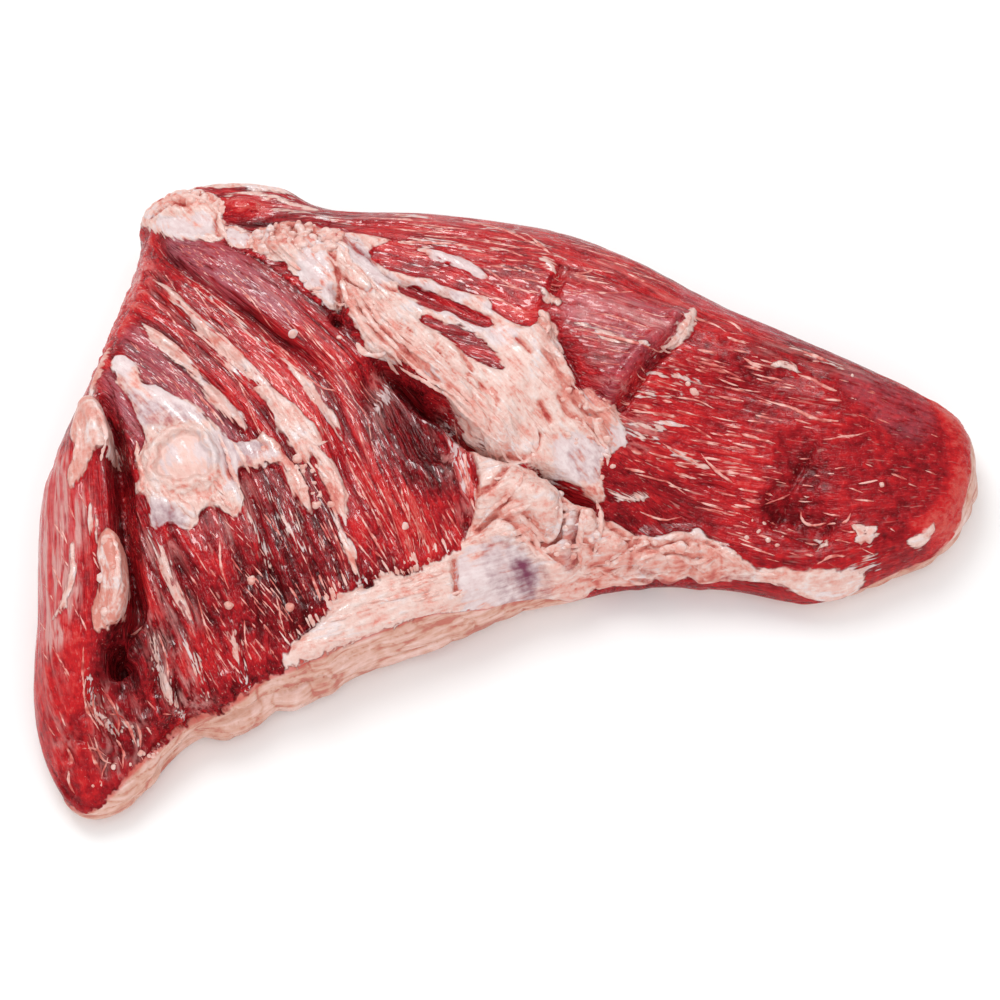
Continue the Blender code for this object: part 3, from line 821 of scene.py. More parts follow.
# %% What the plan says at every point
# height of the fat cap's upper edge round the rim: x, y, z
CAP_TOP = table("""
tip: -137, -121, 10
side of the tip: -126, -112, 15
near the tip: -112, -99, 17
thin neck: -101, -91, 17.5
near side: -88, -83, 20.5
below the strip: -72, -75, 23.5
middle of the strip: -46, -64, 24.5
by the near rim: -24, -56, 24
by the knot: -8, -51, 18
below the knot: 10, -44, 12
thin edge: 28, -39, 3.5
second thin edge: 60, -37, 3
third thin edge: 92, -41, 3
under the lobe: 112, -41, 7
lobe: 130, -33, 9.5
round end: 147, -24, 11
right end: 156, -12, 19
far right end: 159, 5, 22
above the right end: 155, 18, 15
far corner: 146, 30, 9
far side: 60, 80, 8
far middle: -30, 112, 8
blunt corner: -112, 121, 9
left corner: -136, 90, 6
left side: -148, 40, 5
rolled edge: -162, -12, 4
near rolled edge: -159, -60, 4
left of the tip: -150, -109, 5
""")

FAT_BOTTOM = (  # along the near rim the fat ends at a height and muscle shows below it: x, z
    (20, -5), (27, 9), (42, 11), (60, 11), (74, 12),
    (88, 14), (96, 12), (104, 8), (112, 5), (118, -5),
)
NEAR_SIDE = -20  # the near rim lies below this y

about = {name: read_plan(values, plan) for name, values in PLAN.items()}
square = tuple(np.round((plan - (PLAN_X[0], PLAN_Y[0])) / PITCH).astype(int).T)
sheet = SHEETS[square]
region = FLOW_REGIONS[square]
flow = np.stack([[read_plan(values, plan) for values in pair] for pair in FLOW])
grain = flow[:3]
spots = np.array(list(CAP_TOP.values()), float)
cap_top = read_plan(smooth_sheet(spots[:, :2], spots[:, 2]), plan)
about["cap"] = np.clip(cap_top - points[:, 2], -REACH, REACH)
over_bottom = points[:, 2] - np.interp(plan[:, 0], *zip(*FAT_BOTTOM))
in_front = plan[:, 1] < NEAR_SIDE
about["pale"] = np.where(in_front, np.minimum(about["pale"], over_bottom), about["pale"])
upward = ease((normals[:, 2] + 0.1) / 0.5)
print("points under fat:", int((about["pale"] > 0).sum()))

# %% [markdown]
# The relief has four parts. Muscle gets rounded bundles along its grain, with finer fibres on their
# backs. Fat lies a step higher than the meat and has cords, or round lumps in the knot, with folds
# between them. The side of the fat cap has level layers. Drawn cuts, folds and mounds then put the
# sharpest creases and the largest lumps where the eye looks for them, which noise alone can't do.

# %% Sizes of bundles, cords and lumps, in mm
BUNDLES = {  # sheet: bundle width, bundle length, height, and the same for the fibres on it, in mm
    0: (3.2, 26.0, 0.55, 1.4, 10.0, 0.22),
    1: (4.4, 60.0, 1.15, 1.7, 24.0, 0.42),
    2: (5.0, 40.0, 0.70, 1.7, 14.0, 0.25),
}
FAT_STEP = 0.5
FAT_DOME = 0.35  # how much higher fat gets for each millimetre in from its edge, up to 2
# strength of the lumps, then the patch
FAT_LUMPS = table("""
band: 1.2, -91 82, -88 94, -72 95, -60 89, -52 77, -46 65, -36 54, -26 42, -14 30, -5 18, 3 8, 0 -2,
  -10 1, -24 17, -36 29, -48 37, -56 53, -64 57, -76 72
upper knot: 0.8, -14 -2, 4 -7, 16 -14, 20 -20, 18 -28, 4 -30, -8 -36, -14 -28
knot: 1.3, 18 -16, 30 -18, 48 -26, 62 -24, 86 -37, 60 -42, 30 -44, 8 -40, 14 -30
rim of the field: 1, 8 52, 16 46, 22 31, 34 20, 41 8, 36 -10, 24 -10, 25 4, 18 18, 10 34, 5 46
by the corner: 1.1, -133 108, -124 115, -106 112, -96 96, -100 92, -108 104, -124 105
round the disc: 0.7, -128 6, -120 14, -104 10, -90 4, -78 0, -84 -8, -92 -20, -104 -28, -120 -28,
  -128 -10
near cap: 0.6, -140 -124, -130 -112, -104 -92, -110 -100, -128 -124
""")
DISC = (-110, -4, 10.5)  # the round patch of fat: centre and radius of its folded rim
DISC_FOLD = (1.2, 1.4)  # height and half width of the fold
DISC_WANDER = (2.0, 2.4)  # how far the ring strays from a circle, and how many times round it
WANDER = (1.6, 30, 9)  # how far bundles stray sideways, and over what length and width
FAT_WARP = (2.4, 8)  # how far the lumps in fat are bent, and over what distance
FAT_CORD = (13, 4.2, 5)  # length, width and height of the cords in a band of fat
FAT_THREAD = (6, 2, 3)  # the same for the threads on them
FAT_NODULE = 11  # size of the lumps where fat has no cords
CORD_HEIGHT, THREAD_HEIGHT = 2.6, 0.9
LAYER_SIZE, LAYER_HEIGHT = (24, 24, 3.2), 0.7  # layers in the side of the fat cap
CLOD_SIZE, CLOD_HEIGHT = (9, 9, 6), 1.5
CAP_SINK = 0.9  # the cap's side lies this much deeper than the solid
RIM_Y, RIM_X, RIM_TOP = -74, -118, 17  # under the near rim, bumps stay on the side of the cap
RIM_FADE = (16, 8)  # there they end at this height, and fade over this much
FOOT_FADE = (0.6, 2.5)  # the relief starts at this height, and is whole this much higher
CUT_FADE = (6, 4)  # the same for the cuts
print("patches of lumps:", len(FAT_LUMPS))

# %% Cuts
# depth, half width and path of the sharpest creases, in mm
CUTS = table("""
crevice: 5, 2.2, -48 35, -40 30, -31 19.5, -23 13, -16 5.5, -9 -0.5, 3 -6
crevice by the knot: 4, 2.2, 8 -7, 15 -9.5, 22 -15, 30 -18
fold: 1.4, 1, -130 98, -122 83.5, -108 69.5, -95 58.5, -81 45.5, -68 34
groove: 3, 2, -138 12, -133 -4, -130 -30, -126 -47, -124 -58, -127 -68
under the flap: 2, 1.6, 31 15, 37 16, 42 23, 48 32, 56 40.5, 60 47
beside the flap: 2, 1.5, 14 51, 15.5 40, 21 30, 25 21, 30 16
edge of the near strip: 0.8, 1.2, -75 -72, -61 -60, -49 -50.5, -36 -46, -20 -39
notch: 2, 1.6, -62 64, -59.5 56, -61 48
edge of the tip: 1.5, 1.8, -133 -83, -139 -92, -143 -101, -143 -110
fold of the tip: 1.5, 1.3, -131 -89, -130 -97, -126 -107
second fold of the tip: 1.3, 1.2, -125 -87, -123 -95, -120 -103
spot of the tip: 2.4, 2.4, -146 -110, -141 -117
third fold of the tip: 1.6, 1.3, -144 -100, -138 -101, -133 -107, -131 -113
fourth fold of the tip: 1.4, 1.2, -139 -90, -134 -95, -133 -101
beside the pocket: 2, 1.5, -118 -62, -115 -70, -115 -79, -118 -88
second beside the pocket: 1.4, 1.3, -109 -70, -110 -80, -108 -90
fold of the hollow: 1.8, 1.3, 104 6, 99 -4, 93 -15, 88 -26
second fold of the hollow: 1.4, 1.2, 84 -19, 91 -24, 99 -28, 107 -29
third fold of the hollow: 1.2, 1.2, 97 -7, 91 -10, 86 -15
fourth fold of the hollow: 1, 1.1, 101 -12, 97 -19, 96 -25
round the disc: 1, 1.2, -123 3, -118 7.5, -109 8.5, -101 4, -98 -5, -101 -15
below the disc: 0.8, 1.2, -124 -8, -120 -17, -112 -19, -103 -17
""")
print("cuts:", len(CUTS))

# %% Folds in the fat
# depth, half width and path of the folds in the fat; their red-brown is painted shade and stain
FAT_FOLDS = table("""
top of the band: 2, 0.9, -85 95, -83 90, -83 84
second of the top: 2, 0.9, -79 94, -77 89, -73 83
third of the top: 2.2, 1, -72 93, -70 88, -66 83, -62 82
round the smooth patch: 1.4, 0.8, -64 80, -62 74, -60 68, -59.5 60, -60 54
across the band: 1.6, 0.9, -59 69, -56 64, -52 61, -49 60, -47 64
by the silver: 1.4, 0.8, -57 86, -54 80, -49 76, -47 72
second by the silver: 1.2, 0.8, -48 67, -45 64, -42 62, -38 61
orange fold: 1.8, 1, -47 54, -43 47, -39 42, -36 38, -34 33
second orange fold: 1.2, 0.8, -41 48, -38 44, -35 43
long fold: 1.4, 0.9, -55 60, -51 52, -47 45, -42 38, -36 32, -28 25, -19 17, -10 9
second long fold: 1.2, 0.8, -52 60, -48 51, -43 43, -37 36, -29 28, -20 21
dent in the field: 1, 0.8, -17 33, -14 28, -13 24
second dent: 1, 0.8, 1 40, 4 37, 8 32
rim of the field: 1.3, 0.9, 10 36, 13 31, 17 25, 20 19
crumple: 1.4, 0.8, 22 24, 21 18, 25 14, 29 12
second crumple: 1.4, 0.8, 14 20, 17 17, 20 12, 25 10, 29 5, 31 -1
third crumple: 1, 0.8, 9 16, 12 12, 14 8
neck: 1.4, 1, 10 6, 9 1, 7 -4
by the neck: 1.6, 1, -2 -1, 3 -4, 6 -3
upper knot: 1.3, 1, -13 -31, -8 -27, -3 -22, 1 -18
big lump: 2.6, 1.2, 2 -22, 6 -25, 10 -30, 12 -33, 15 -31, 17 -26, 17.5 -19, 18 -13
below the big lump: 1.6, 1, 6 -30, 10 -34, 15 -37, 20 -39
right of the knot: 2, 1, 24 -19, 23 -25, 21.5 -31, 22 -36, 18 -40
gap by the strip: 2.2, 1, -19 -38, -18.5 -44, -18 -52
middle of the knot: 1.6, 1, -12 -20, -6 -16, -2 -10, 0 -6
second of the middle: 1.4, 0.9, -10 -26, -4 -25, 2 -28, 3 -33
left of the knot: 1.2, 0.9, -16 -30, -13 -24, -11 -16, -12 -8
under the knot: 1.8, 1, 8 -28, 13 -30, 20 -30, 27 -31, 31 -34
in the near rim: 1.6, 0.9, 32 -24, 38 -27, 41 -32, 40 -37
second in the near rim: 1.4, 0.9, 45 -27, 48 -31, 56 -29.5, 62 -31
foot of the near rim: 1.4, 0.9, 36 -39, 48 -38, 60 -38.5, 74 -37
near rim: 1.6, 0.9, 24 -37, 30 -35, 36 -34, 42 -30, 45 -28
second of the near rim: 1.6, 0.9, 40 -34, 47 -31, 53 -33, 60 -33, 68 -34
third of the near rim: 1.4, 0.8, 30 -14, 32 -19, 33 -25
fourth of the near rim: 1, 0.8, 52 -28, 56 -30, 64 -28, 72 -32
left of the disc: 1.2, 0.8, -125 4, -127 -2, -126 -8
right of the disc: 1.4, 0.9, -100 6, -97 0, -95 -8, -92 -14
blunt corner: 1.6, 0.9, -132 104, -127 104, -121 106, -114 105
end of the blunt corner: 1.4, 0.8, -104 100, -105 94, -103 89
""")
FOLD_DEEPER = 1.3  # the folds are this many times as deep as drawn
print("folds:", len(FAT_FOLDS))

# %% Mounds
# the same for low mounds, which have a negative depth
BUMPS = table("""
fat of the far edge: -3.2, 8, -110 114, -98 115, -84 113
corner muscle: -2, 4, -97 103, -93 103
lip of the flap: -1.6, 2.2, 34 20, 38 27, 44 35, 51 42
corner: -1.8, 2.6, -132 103, -129 108, -125 111
head of the rolled edge: -1.6, 3, -144 18, -140 8, -139 -1
lump on the rolled edge: -1, 2.4, -132 -36, -129.5 -44, -129 -54, -131 -63
flesh by the pocket: -2.6, 2.6, -120 -68, -119 -76, -121 -85
flesh in the pocket: -2.4, 2.6, -126 -68, -124 -74
second flesh by the pocket: -2, 2.2, -126 -90, -121 -95, -115 -93
third flesh by the pocket: -1.6, 2, -112 -72, -112 -82, -111 -90
flesh of the tip: -1.8, 2.2, -140 -96, -136 -99, -131 -104
second flesh of the tip: -1.5, 2, -128 -100, -125 -108, -128 -114
big lump of the knot: -2.4, 4.5, 5 -16, 9 -19, 13 -23
left of the knot: -1.4, 3.6, -7 -20, -5 -26
head of the knot: -1.4, 3.6, -6 -6, -1 -11
right of the knot: -1.5, 3.2, 26 -20, 27 -27
below the knot: -1.5, 2.6, 13 -37, 20 -37
near rim: -1.2, 2.6, 36 -31, 44 -33
second of the near rim: -1.4, 2.6, 50 -30, 58 -30.5, 66 -33
lump of the cap: -4, 7, -93 -90, -87 -87
neck of the cap: 4, 7, -111 -103, -104 -97
second lump of the cap: -2.5, 6, -72 -79, -62 -74
""")
print("mounds:", len(BUMPS))

# %% Stained fat and painted shade between the beads
# fat painted red-brown between the beads, as painted shade and stain, so that the beads stand out
STAINED_AND_SHADED_FAT = table("""
top of the band: 0.75, -93 82, -91 94, -74 95, -62 90, -56 84, -64 80, -76 79
by the corner: 0.6, -132 103, -128 112, -112 112, -103 108, -101 92, -104 92, -107 103, -122 104
knobs of the near rim: 0.4, 36 -26, 52 -28, 70 -32, 66 -37, 40 -37
middle of the knot: 0.35, 4 -26, 12 -22, 18 -26, 20 -36, 10 -37
rim of the field: 0.5, 12 24, 22 24, 34 15, 34 -4, 29 -2, 24 12
strips by the disc: 0.5, -90 -4, -80 -2, -66 -22, -56 -26, -60 -10, -72 2
""")
print("patches of stained fat:", len(STAINED_AND_SHADED_FAT))


# %% Shapes of muscle and fat
def bundle_relief(number):
    """Rounded bundles along one sheet's fibres, and finer fibres on their backs."""
    width, length, height, fibre_width, fibre_length, fibre_height = BUNDLES[number]
    stray, stray_length, stray_width = WANDER
    along, across = grain[number]
    bend = np.stack([along / stray_length, across / stray_width], 1)
    across = across + stray * lattice_noise(bend, 11)
    depth = points[:, 2]
    bundle = np.stack([along / length, across / width, depth / width], 1)
    fibre = np.stack([along / fibre_length, across / fibre_width, depth / fibre_width], 1)
    ridge = lumps(bundle, 12 + number)
    return ridge, height * (ridge - 0.5) + fibre_height * (lumps(fibre, 17 + number) - 0.5)


def fat_relief():
    """Soft lumps in fat with folds between them: cords along the band, round lumps in the knot."""
    far, over = FAT_WARP
    warp = far * np.stack([lattice_noise(points / over, 21 + axis) for axis in range(3)], 1)
    bent = points + warp
    along, across = flow[region, :, np.arange(len(points))].T
    cord = np.stack([along + warp[:, 0], across + warp[:, 1], bent[:, 2]], 1) / FAT_CORD
    thread = np.stack([along - warp[:, 0], across - 0.6 * warp[:, 1], bent[:, 2]], 1) / FAT_THREAD
    knot = deepest([FAT_LUMPS[name][1:] for name in ("knot", "upper knot")])
    knot = read_plan(ease(0.5 + knot / 8), plan)
    coarse = lumps(cord, 26) * (1 - knot) + lumps(bent / FAT_NODULE, 24) * knot
    fine = lumps(thread, 25)
    strength = np.maximum(read_plan(weighted(FAT_LUMPS, 8), plan), 0.25)
    strength *= 1 - 0.7 * about["silver"]
    # crease marks the low places between lumps, which the colour paints pink to red-brown as painted
    # shade
    crease = 1 - ease(np.minimum(coarse / 0.16, fine / 0.12 + 0.25))
    height = CORD_HEIGHT * (coarse - 0.35) + THREAD_HEIGHT * (fine - 0.4)
    height = height * strength + FAT_STEP + FAT_DOME * np.clip(about["pale"], 0, 2)
    return 0.8 * crease * strength, height * (1 - 0.6 * about["thin"])


def disc_relief():
    """The folded rim round the disc, and the smooth hollow inside it."""
    x, y, radius = DISC
    height, half_width = DISC_FOLD
    stray, rounds = DISC_WANDER
    away = np.hypot(plan[:, 0] - x, (plan[:, 1] - y) * 0.92)
    turn = np.arctan2(plan[:, 1] - y, plan[:, 0] - x)
    away = away + stray * lattice_noise(rounds * np.stack([np.cos(turn), np.sin(turn)], 1), 41)
    fold = height * np.exp(-(((away - radius) / half_width) ** 2))
    return ease((radius - 1 - away) / 2), fold


def cut_relief(cuts, rounded=False):
    """Sharp creases, deepest at their middle: how deep, and how near their bottom, 0 to 1."""
    lift, bottom = np.zeros(PLAN_SHAPE), np.zeros(PLAN_SHAPE)
    for depth, half_width, *path in cuts.values():
        gap, along = path_maps(smooth_curve(path), half_width * 2.5)
        ends = 1 if rounded else ease(along / 0.15) * ease((1 - along) / 0.15)
        shape = ends * (gap < half_width * 2.5) * np.exp(-((gap / half_width) ** 2))
        lift -= depth * shape
        bottom = np.maximum(bottom, shape)
    return read_plan(lift, plan), read_plan(bottom, plan)


def faded(height, fade):
    """0 up to a height, 1 above it, with a step as wide as given."""
    start, width = fade
    return ease((height - start) / width)


ridges, muscles = zip(*(bundle_relief(number) for number in range(3)))
ridge = np.choose(sheet, ridges)
crease, fat = fat_relief()
in_disc, fold = disc_relief()
fat = fat * (1 - in_disc) + fold
crease *= 1 - in_disc
print("points in the disc:", int((in_disc > 0.5).sum()))

# %% Move the points
covered = ease((about["pale"] + 0.9) / 1.8)
in_cap = ease((about["cap"] + 0.8) / 1.6)
layers = lumps(points / LAYER_SIZE, 31)
clods = lumps(points / CLOD_SIZE, 32)
fibres = np.choose(sheet, muscles) * (0.35 + 0.65 * upward)
surface = fibres * (1 - covered) + fat * covered
cap_side = LAYER_HEIGHT * layers + CLOD_HEIGHT * clods - CAP_SINK
lift = surface * (1 - in_cap) + cap_side * in_cap
bumps, _ = cut_relief(BUMPS, rounded=True)
under_rim = (plan[:, 1] < RIM_Y) & (plan[:, 0] > RIM_X) & (points[:, 2] < RIM_TOP)
fade = ease((RIM_FADE[0] - points[:, 2]) / RIM_FADE[1])
lift += bumps * np.where(under_rim, in_cap * fade, 1)
lift *= faded(points[:, 2], FOOT_FADE)
points += normals * lift[:, None]
cuts, in_cut = cut_relief(CUTS)
folds, in_fold = cut_relief(FAT_FOLDS)
points[:, 2] += (cuts + FOLD_DEEPER * folds) * upward * faded(points[:, 2], CUT_FADE)
body_mesh.vertices.foreach_set("co", (points * MM).astype(np.float32).ravel())
print("relief, mm:", round(float(lift.min()), 2), "to", round(float(lift.max()), 2))

# %% What the relief does to the colours
# painted light and shade: the bundles' backs are painted lighter and the gaps between them darker
RIDGE_LIGHT_AND_SHADE = (0.3, 1.0, 0.5)  # sheet by sheet, how much brighter the bundles' backs are
# painted shade: the bottoms of cuts are darkened
CUT_SHADE = 0.6
# painted shade, partly stain: folds and the ground between beads turn red-brown
FOLD_SHADE_AND_STAIN = 1.2

about["ridge"] = 0.5 + (ridge - 0.5) * np.choose(sheet, RIDGE_LIGHT_AND_SHADE)
about["dark"] = np.maximum(about["dark"], CUT_SHADE * in_cut)
stain_and_shade = read_plan(weighted(STAINED_AND_SHADED_FAT, 5), plan) * (1 - 0.6 * in_disc)
crease = np.maximum(np.maximum(crease, FOLD_SHADE_AND_STAIN * in_fold), stain_and_shade)
cap_crease_shade = 1 - ease(np.minimum(layers, clods) / 0.15)
about["crease"] = np.where(in_cap > 0.5, cap_crease_shade, crease)
about["disc"] = in_disc
print("points in cuts:", int((in_cut > 0.5).sum()))

# %% Store the plan on the mesh
def store(mesh, name, values):
    mesh.attributes.new(name, "FLOAT", "POINT").data.foreach_set("value", values.astype(np.float32))


def store_flow(mesh, name, flows, regions):
    """A flow as a UV map. Each face reads one region only, so that none is stretched across two."""
    corners = each(mesh.loops, "vertex_index")
    starts, totals = each(mesh.polygons, "loop_start"), each(mesh.polygons, "loop_total")
    face_region = np.repeat(regions[corners[starts]], totals)
    values = flows[face_region, :, corners]
    mesh.uv_layers.new(name=name).data.foreach_set("uv", values.astype(np.float32).ravel())


for name, values in about.items():
    store(body_mesh, name, values)
store_flow(body_mesh, "grain", grain, sheet)
store_flow(body_mesh, "flow", flow, region)
print("stored:", ", ".join(about))

# %% [markdown]
# The fine net has too many faces for one piece. Two upright cuts part it into three closed pieces, as
# a butcher parts the muscles: one cut follows the seam under the band of fat, the other crosses the
# right muscle. The cuts are closed with flat faces that nobody sees, and their edges are kept sharp so
# that the shading runs on across them.

# %% Three closed pieces
CUT_PLANES = {  # a place on the plan in mm, and the direction that looks to the right of the cut
    "seam": ((-48, 35), (0.81, 0.59)),
    "lobe": ((24, 0), (0.97, 0.24)),
}
PIECES = {  # name: the cuts, and the side of each that stays
    "left_muscle": (("seam", -1),),
    "middle_muscle": (("seam", 1), ("lobe", -1)),
    "right_muscle": (("lobe", 1),),
}
FLAT_HEIGHT = 0.0004  # faces lower than this belong to the flat underside


def close_holes(build):
    """Flat faces over every open loop of edges, with sharp edges round them."""
    rim = [edge for edge in build.edges if edge.is_boundary]
    for edge in rim:
        edge.smooth = False
    filled = bmesh.ops.edgeloop_fill(build, edges=rim)["faces"]
    bmesh.ops.triangulate(build, faces=filled)


def cut_piece(name, sides):
    """One closed piece of the body, with the small faces of the flat underside replaced by a few."""
    build = bmesh.new()
    build.from_mesh(body_mesh)
    for cut, side in sides:
        place, toward = CUT_PLANES[cut]
        everything = build.verts[:] + build.edges[:] + build.faces[:]
        where = {"plane_co": Vector((*place, 0)) * MM, "plane_no": Vector((*toward, 0)) * -side}
        bmesh.ops.bisect_plane(build, geom=everything, clear_outer=True, **where)
        close_holes(build)
    flat = [face for face in build.faces if all(point.co.z < FLAT_HEIGHT for point in face.verts)]
    bmesh.ops.delete(build, geom=flat, context="FACES")
    close_holes(build)
    bmesh.ops.triangulate(build, faces=build.faces[:])
    bmesh.ops.recalc_face_normals(build, faces=build.faces[:])
    mesh = bpy.data.meshes.new(name)
    build.to_mesh(mesh)
    open_edges = sum(not edge.is_manifold for edge in build.edges)
    print(name, "triangles:", len(build.faces), "open edges:", open_edges)
    build.free()
    return add_object(name, mesh)


body_mesh.shade_smooth()
bodies = [cut_piece(name, sides) for name, sides in PIECES.items()]

# %% [markdown]
# ## Materials
#
# Raw beef is three looks in one: wet red fibre, cream fat, and bluish skin. Each look is a node group,
# so that the loose scraps can use the same groups as the body. A pattern along the grain comes from
# noise read at the "grain" map, squeezed across the fibres, so a streak becomes long and thin. Height
# goes in as a third axis, so that the fibres run through the meat like straws and a cut across them
# shows dots instead of stripes.

# %% Small helpers for node trees
FLOAT, COLOUR = "NodeSocketFloat", "NodeSocketColor"


def add_node(tree, kind, links=(), **settings):
    """A node with its settings, and its inputs given as values or as sockets to link."""
    node = tree.nodes.new(kind)
    for name, value in settings.items():
        setattr(node, name, value)
    for name, value in dict(links).items():
        if isinstance(value, bpy.types.NodeSocket):
            tree.links.new(value, node.inputs[name])
        else:
            node.inputs[name].default_value = value
    return node


def made(tree, kind, links=(), **settings):
    """The first output of a new node."""
    return add_node(tree, kind, links, **settings).outputs[0]


def calc(tree, operation, *values):
    """One sum on sockets or numbers."""
    return made(tree, "ShaderNodeMath", enumerate(values), operation=operation)


def times(tree, first, second):
    return calc(tree, "MULTIPLY", first, second)


def summed(tree, start, *parts):
    """`start` plus each part times its weight."""
    for part, weight in parts:
        start = calc(tree, "MULTIPLY_ADD", part, weight, start)
    return start


def give(tree, sockets, **values):
    """Link values to sockets by name."""
    for name, value in values.items():
        tree.links.new(value, sockets[name.replace("_", " ")])


def mixed(tree, share, below, above):
    """`above` laid over `below` by a share from 0 to 1."""
    links = {0: share, 6: below, 7: above}
    return add_node(tree, "ShaderNodeMix", links, data_type="RGBA").outputs[2]


def ramped(tree, value, stops):
    """A colour read off a ramp of (position, colour) stops."""
    node = add_node(tree, "ShaderNodeValToRGB", {0: value})
    elements = node.color_ramp.elements
    for number, (position, colour) in enumerate(stops):
        stop = elements[number] if number < 2 else elements.new(position)
        stop.position = position
        stop.color = (*colour, 1)
    return node.outputs[0]


def stepped(tree, value, low, high):
    """A smooth step from 0 at `low` to 1 at `high`."""
    links = {0: value, 1: low, 2: high}
    return made(tree, "ShaderNodeMapRange", links, interpolation_type="SMOOTHSTEP")


def attribute(tree, name):
    return add_node(tree, "ShaderNodeAttribute", attribute_name=name).outputs["Fac"]


# %% Node groups
def new_group(name, inputs, outputs):
    """A node group with float inputs and named outputs."""
    tree = bpy.data.node_groups.new(name, "ShaderNodeTree")
    for socket, start in inputs.items():
        added = tree.interface.new_socket(socket, in_out="INPUT", socket_type=FLOAT)
        added.default_value = start
    for socket, kind in outputs.items():
        tree.interface.new_socket(socket, in_out="OUTPUT", socket_type=kind)
    return tree, add_node(tree, "NodeGroupInput").outputs, add_node(tree, "NodeGroupOutput").inputs


def use_group(tree, group, **values):
    """Outputs of a group placed in another tree, with inputs given by name."""
    links = {name.replace("_", " ").capitalize(): value for name, value in values.items()}
    return add_node(tree, "ShaderNodeGroup", links, node_tree=group).outputs


# %% Patterns: streaks along the grain, mottling, torn edges
def make_streaks(name, uv_map):
    """Noise drawn out along a flow, by length and width in millimetres."""
    inputs = {"Length": 20, "Width": 2, "Seed": 0, "Detail": 2}
    tree, given, out = new_group(name, inputs, {"Streaks": FLOAT})
    place = made(tree, "ShaderNodeUVMap", uv_map=uv_map)
    across = add_node(tree, "ShaderNodeSeparateXYZ", {0: place}).outputs
    height = add_node(tree, "ShaderNodeTexCoord").outputs["Object"]
    height = add_node(tree, "ShaderNodeSeparateXYZ", {0: height}).outputs["Z"]
    squeezed = {
        "X": calc(tree, "ADD", calc(tree, "DIVIDE", across["X"], given["Length"]), given["Seed"]),
        "Y": calc(tree, "DIVIDE", across["Y"], given["Width"]),
        "Z": calc(tree, "DIVIDE", times(tree, height, 1000), given["Width"]),
    }
    vector = made(tree, "ShaderNodeCombineXYZ", squeezed)
    noise = {"Vector": vector, "Scale": 1, "Detail": given["Detail"]}
    noise.update({"Roughness": 0.55, "Distortion": 0.1})
    give(tree, out, Streaks=add_node(tree, "ShaderNodeTexNoise", noise).outputs["Fac"])
    return tree


def make_mottle():
    """Even blotches of a size in millimetres."""
    tree, given, out = new_group("mottle", {"Size": 3, "Seed": 0}, {"Mottle": FLOAT})
    place = add_node(tree, "ShaderNodeTexCoord").outputs["Object"]
    shift = made(tree, "ShaderNodeCombineXYZ", {"X": given["Seed"], "Y": given["Seed"]})
    place = made(tree, "ShaderNodeVectorMath", {0: place, 1: shift}, operation="ADD")
    scale = calc(tree, "DIVIDE", 1000, given["Size"])
    noise = {"Vector": place, "Scale": scale, "Detail": 2.5, "Roughness": 0.55}
    give(tree, out, Mottle=add_node(tree, "ShaderNodeTexNoise", noise).outputs["Fac"])
    return tree


STREAKS = make_streaks("fibre_streaks", "grain")
CORDS = make_streaks("fat_cords", "flow")
MOTTLE = make_mottle()


def streaks(tree, length, width, seed, detail=2):
    """Streaks along the grain."""
    return use_group(tree, STREAKS, length=length, width=width, seed=seed, detail=detail)[0]


def mottle(tree, size, seed):
    return use_group(tree, MOTTLE, size=size, seed=seed)[0]


def make_torn_edge():
    """Turns a depth in millimetres into a mask whose edge is torn along the fibres."""
    inputs = {"Depth": 0, "Tear": 1.5, "Softness": 0.5, "Thin": 0}
    tree, given, out = new_group("torn_edge", inputs, {"Mask": FLOAT})
    both = calc(tree, "ADD", streaks(tree, 11, 1.8, 7, 1), mottle(tree, 5, 3))
    shreds = calc(tree, "SUBTRACT", streaks(tree, 14, 0.9, 9, 1), 0.55)
    both = summed(tree, calc(tree, "SUBTRACT", both, 1), (times(tree, shreds, given["Thin"]), 2.4))
    moved = summed(tree, given["Depth"], (both, times(tree, given["Tear"], 3)))
    edge = times(tree, given["Softness"], 0.5)
    give(tree, out, Mask=stepped(tree, moved, times(tree, edge, -1), edge))
    return tree


TORN_EDGE = make_torn_edge()
print("patterns:", ", ".join(group.name for group in (STREAKS, CORDS, MOTTLE, TORN_EDGE)))

# %% [markdown]
# The red is one tone read off a ramp from deep to pink red. The tone adds broad bundles, strands,
# threads and blotches. Faces cut across the grain get a second tone with little grain in it, and how
# calm the face is blends the two. The pale skins are then laid over the red, torn where it has strands.

# %% Muscle
DEEP_RED = (0.060, 0.002, 0.003)
DARK_RED = (0.165, 0.005, 0.008)
MID_RED = (0.320, 0.009, 0.014)
BRIGHT_RED = (0.560, 0.017, 0.020)
PINK_RED = (0.640, 0.090, 0.075)
MEMBRANE_AND_GLINT = (0.760, 0.400, 0.340)
VEIL_LILAC = (0.400, 0.115, 0.145)
HAZE_PINK = (0.620, 0.290, 0.270)


def dashes(tree, length, width, seed, low, high):
    """Long thin flecks with pointed ends: the highest parts of streaky noise."""
    return stepped(tree, streaks(tree, length, width, seed, 0.6), low, high)


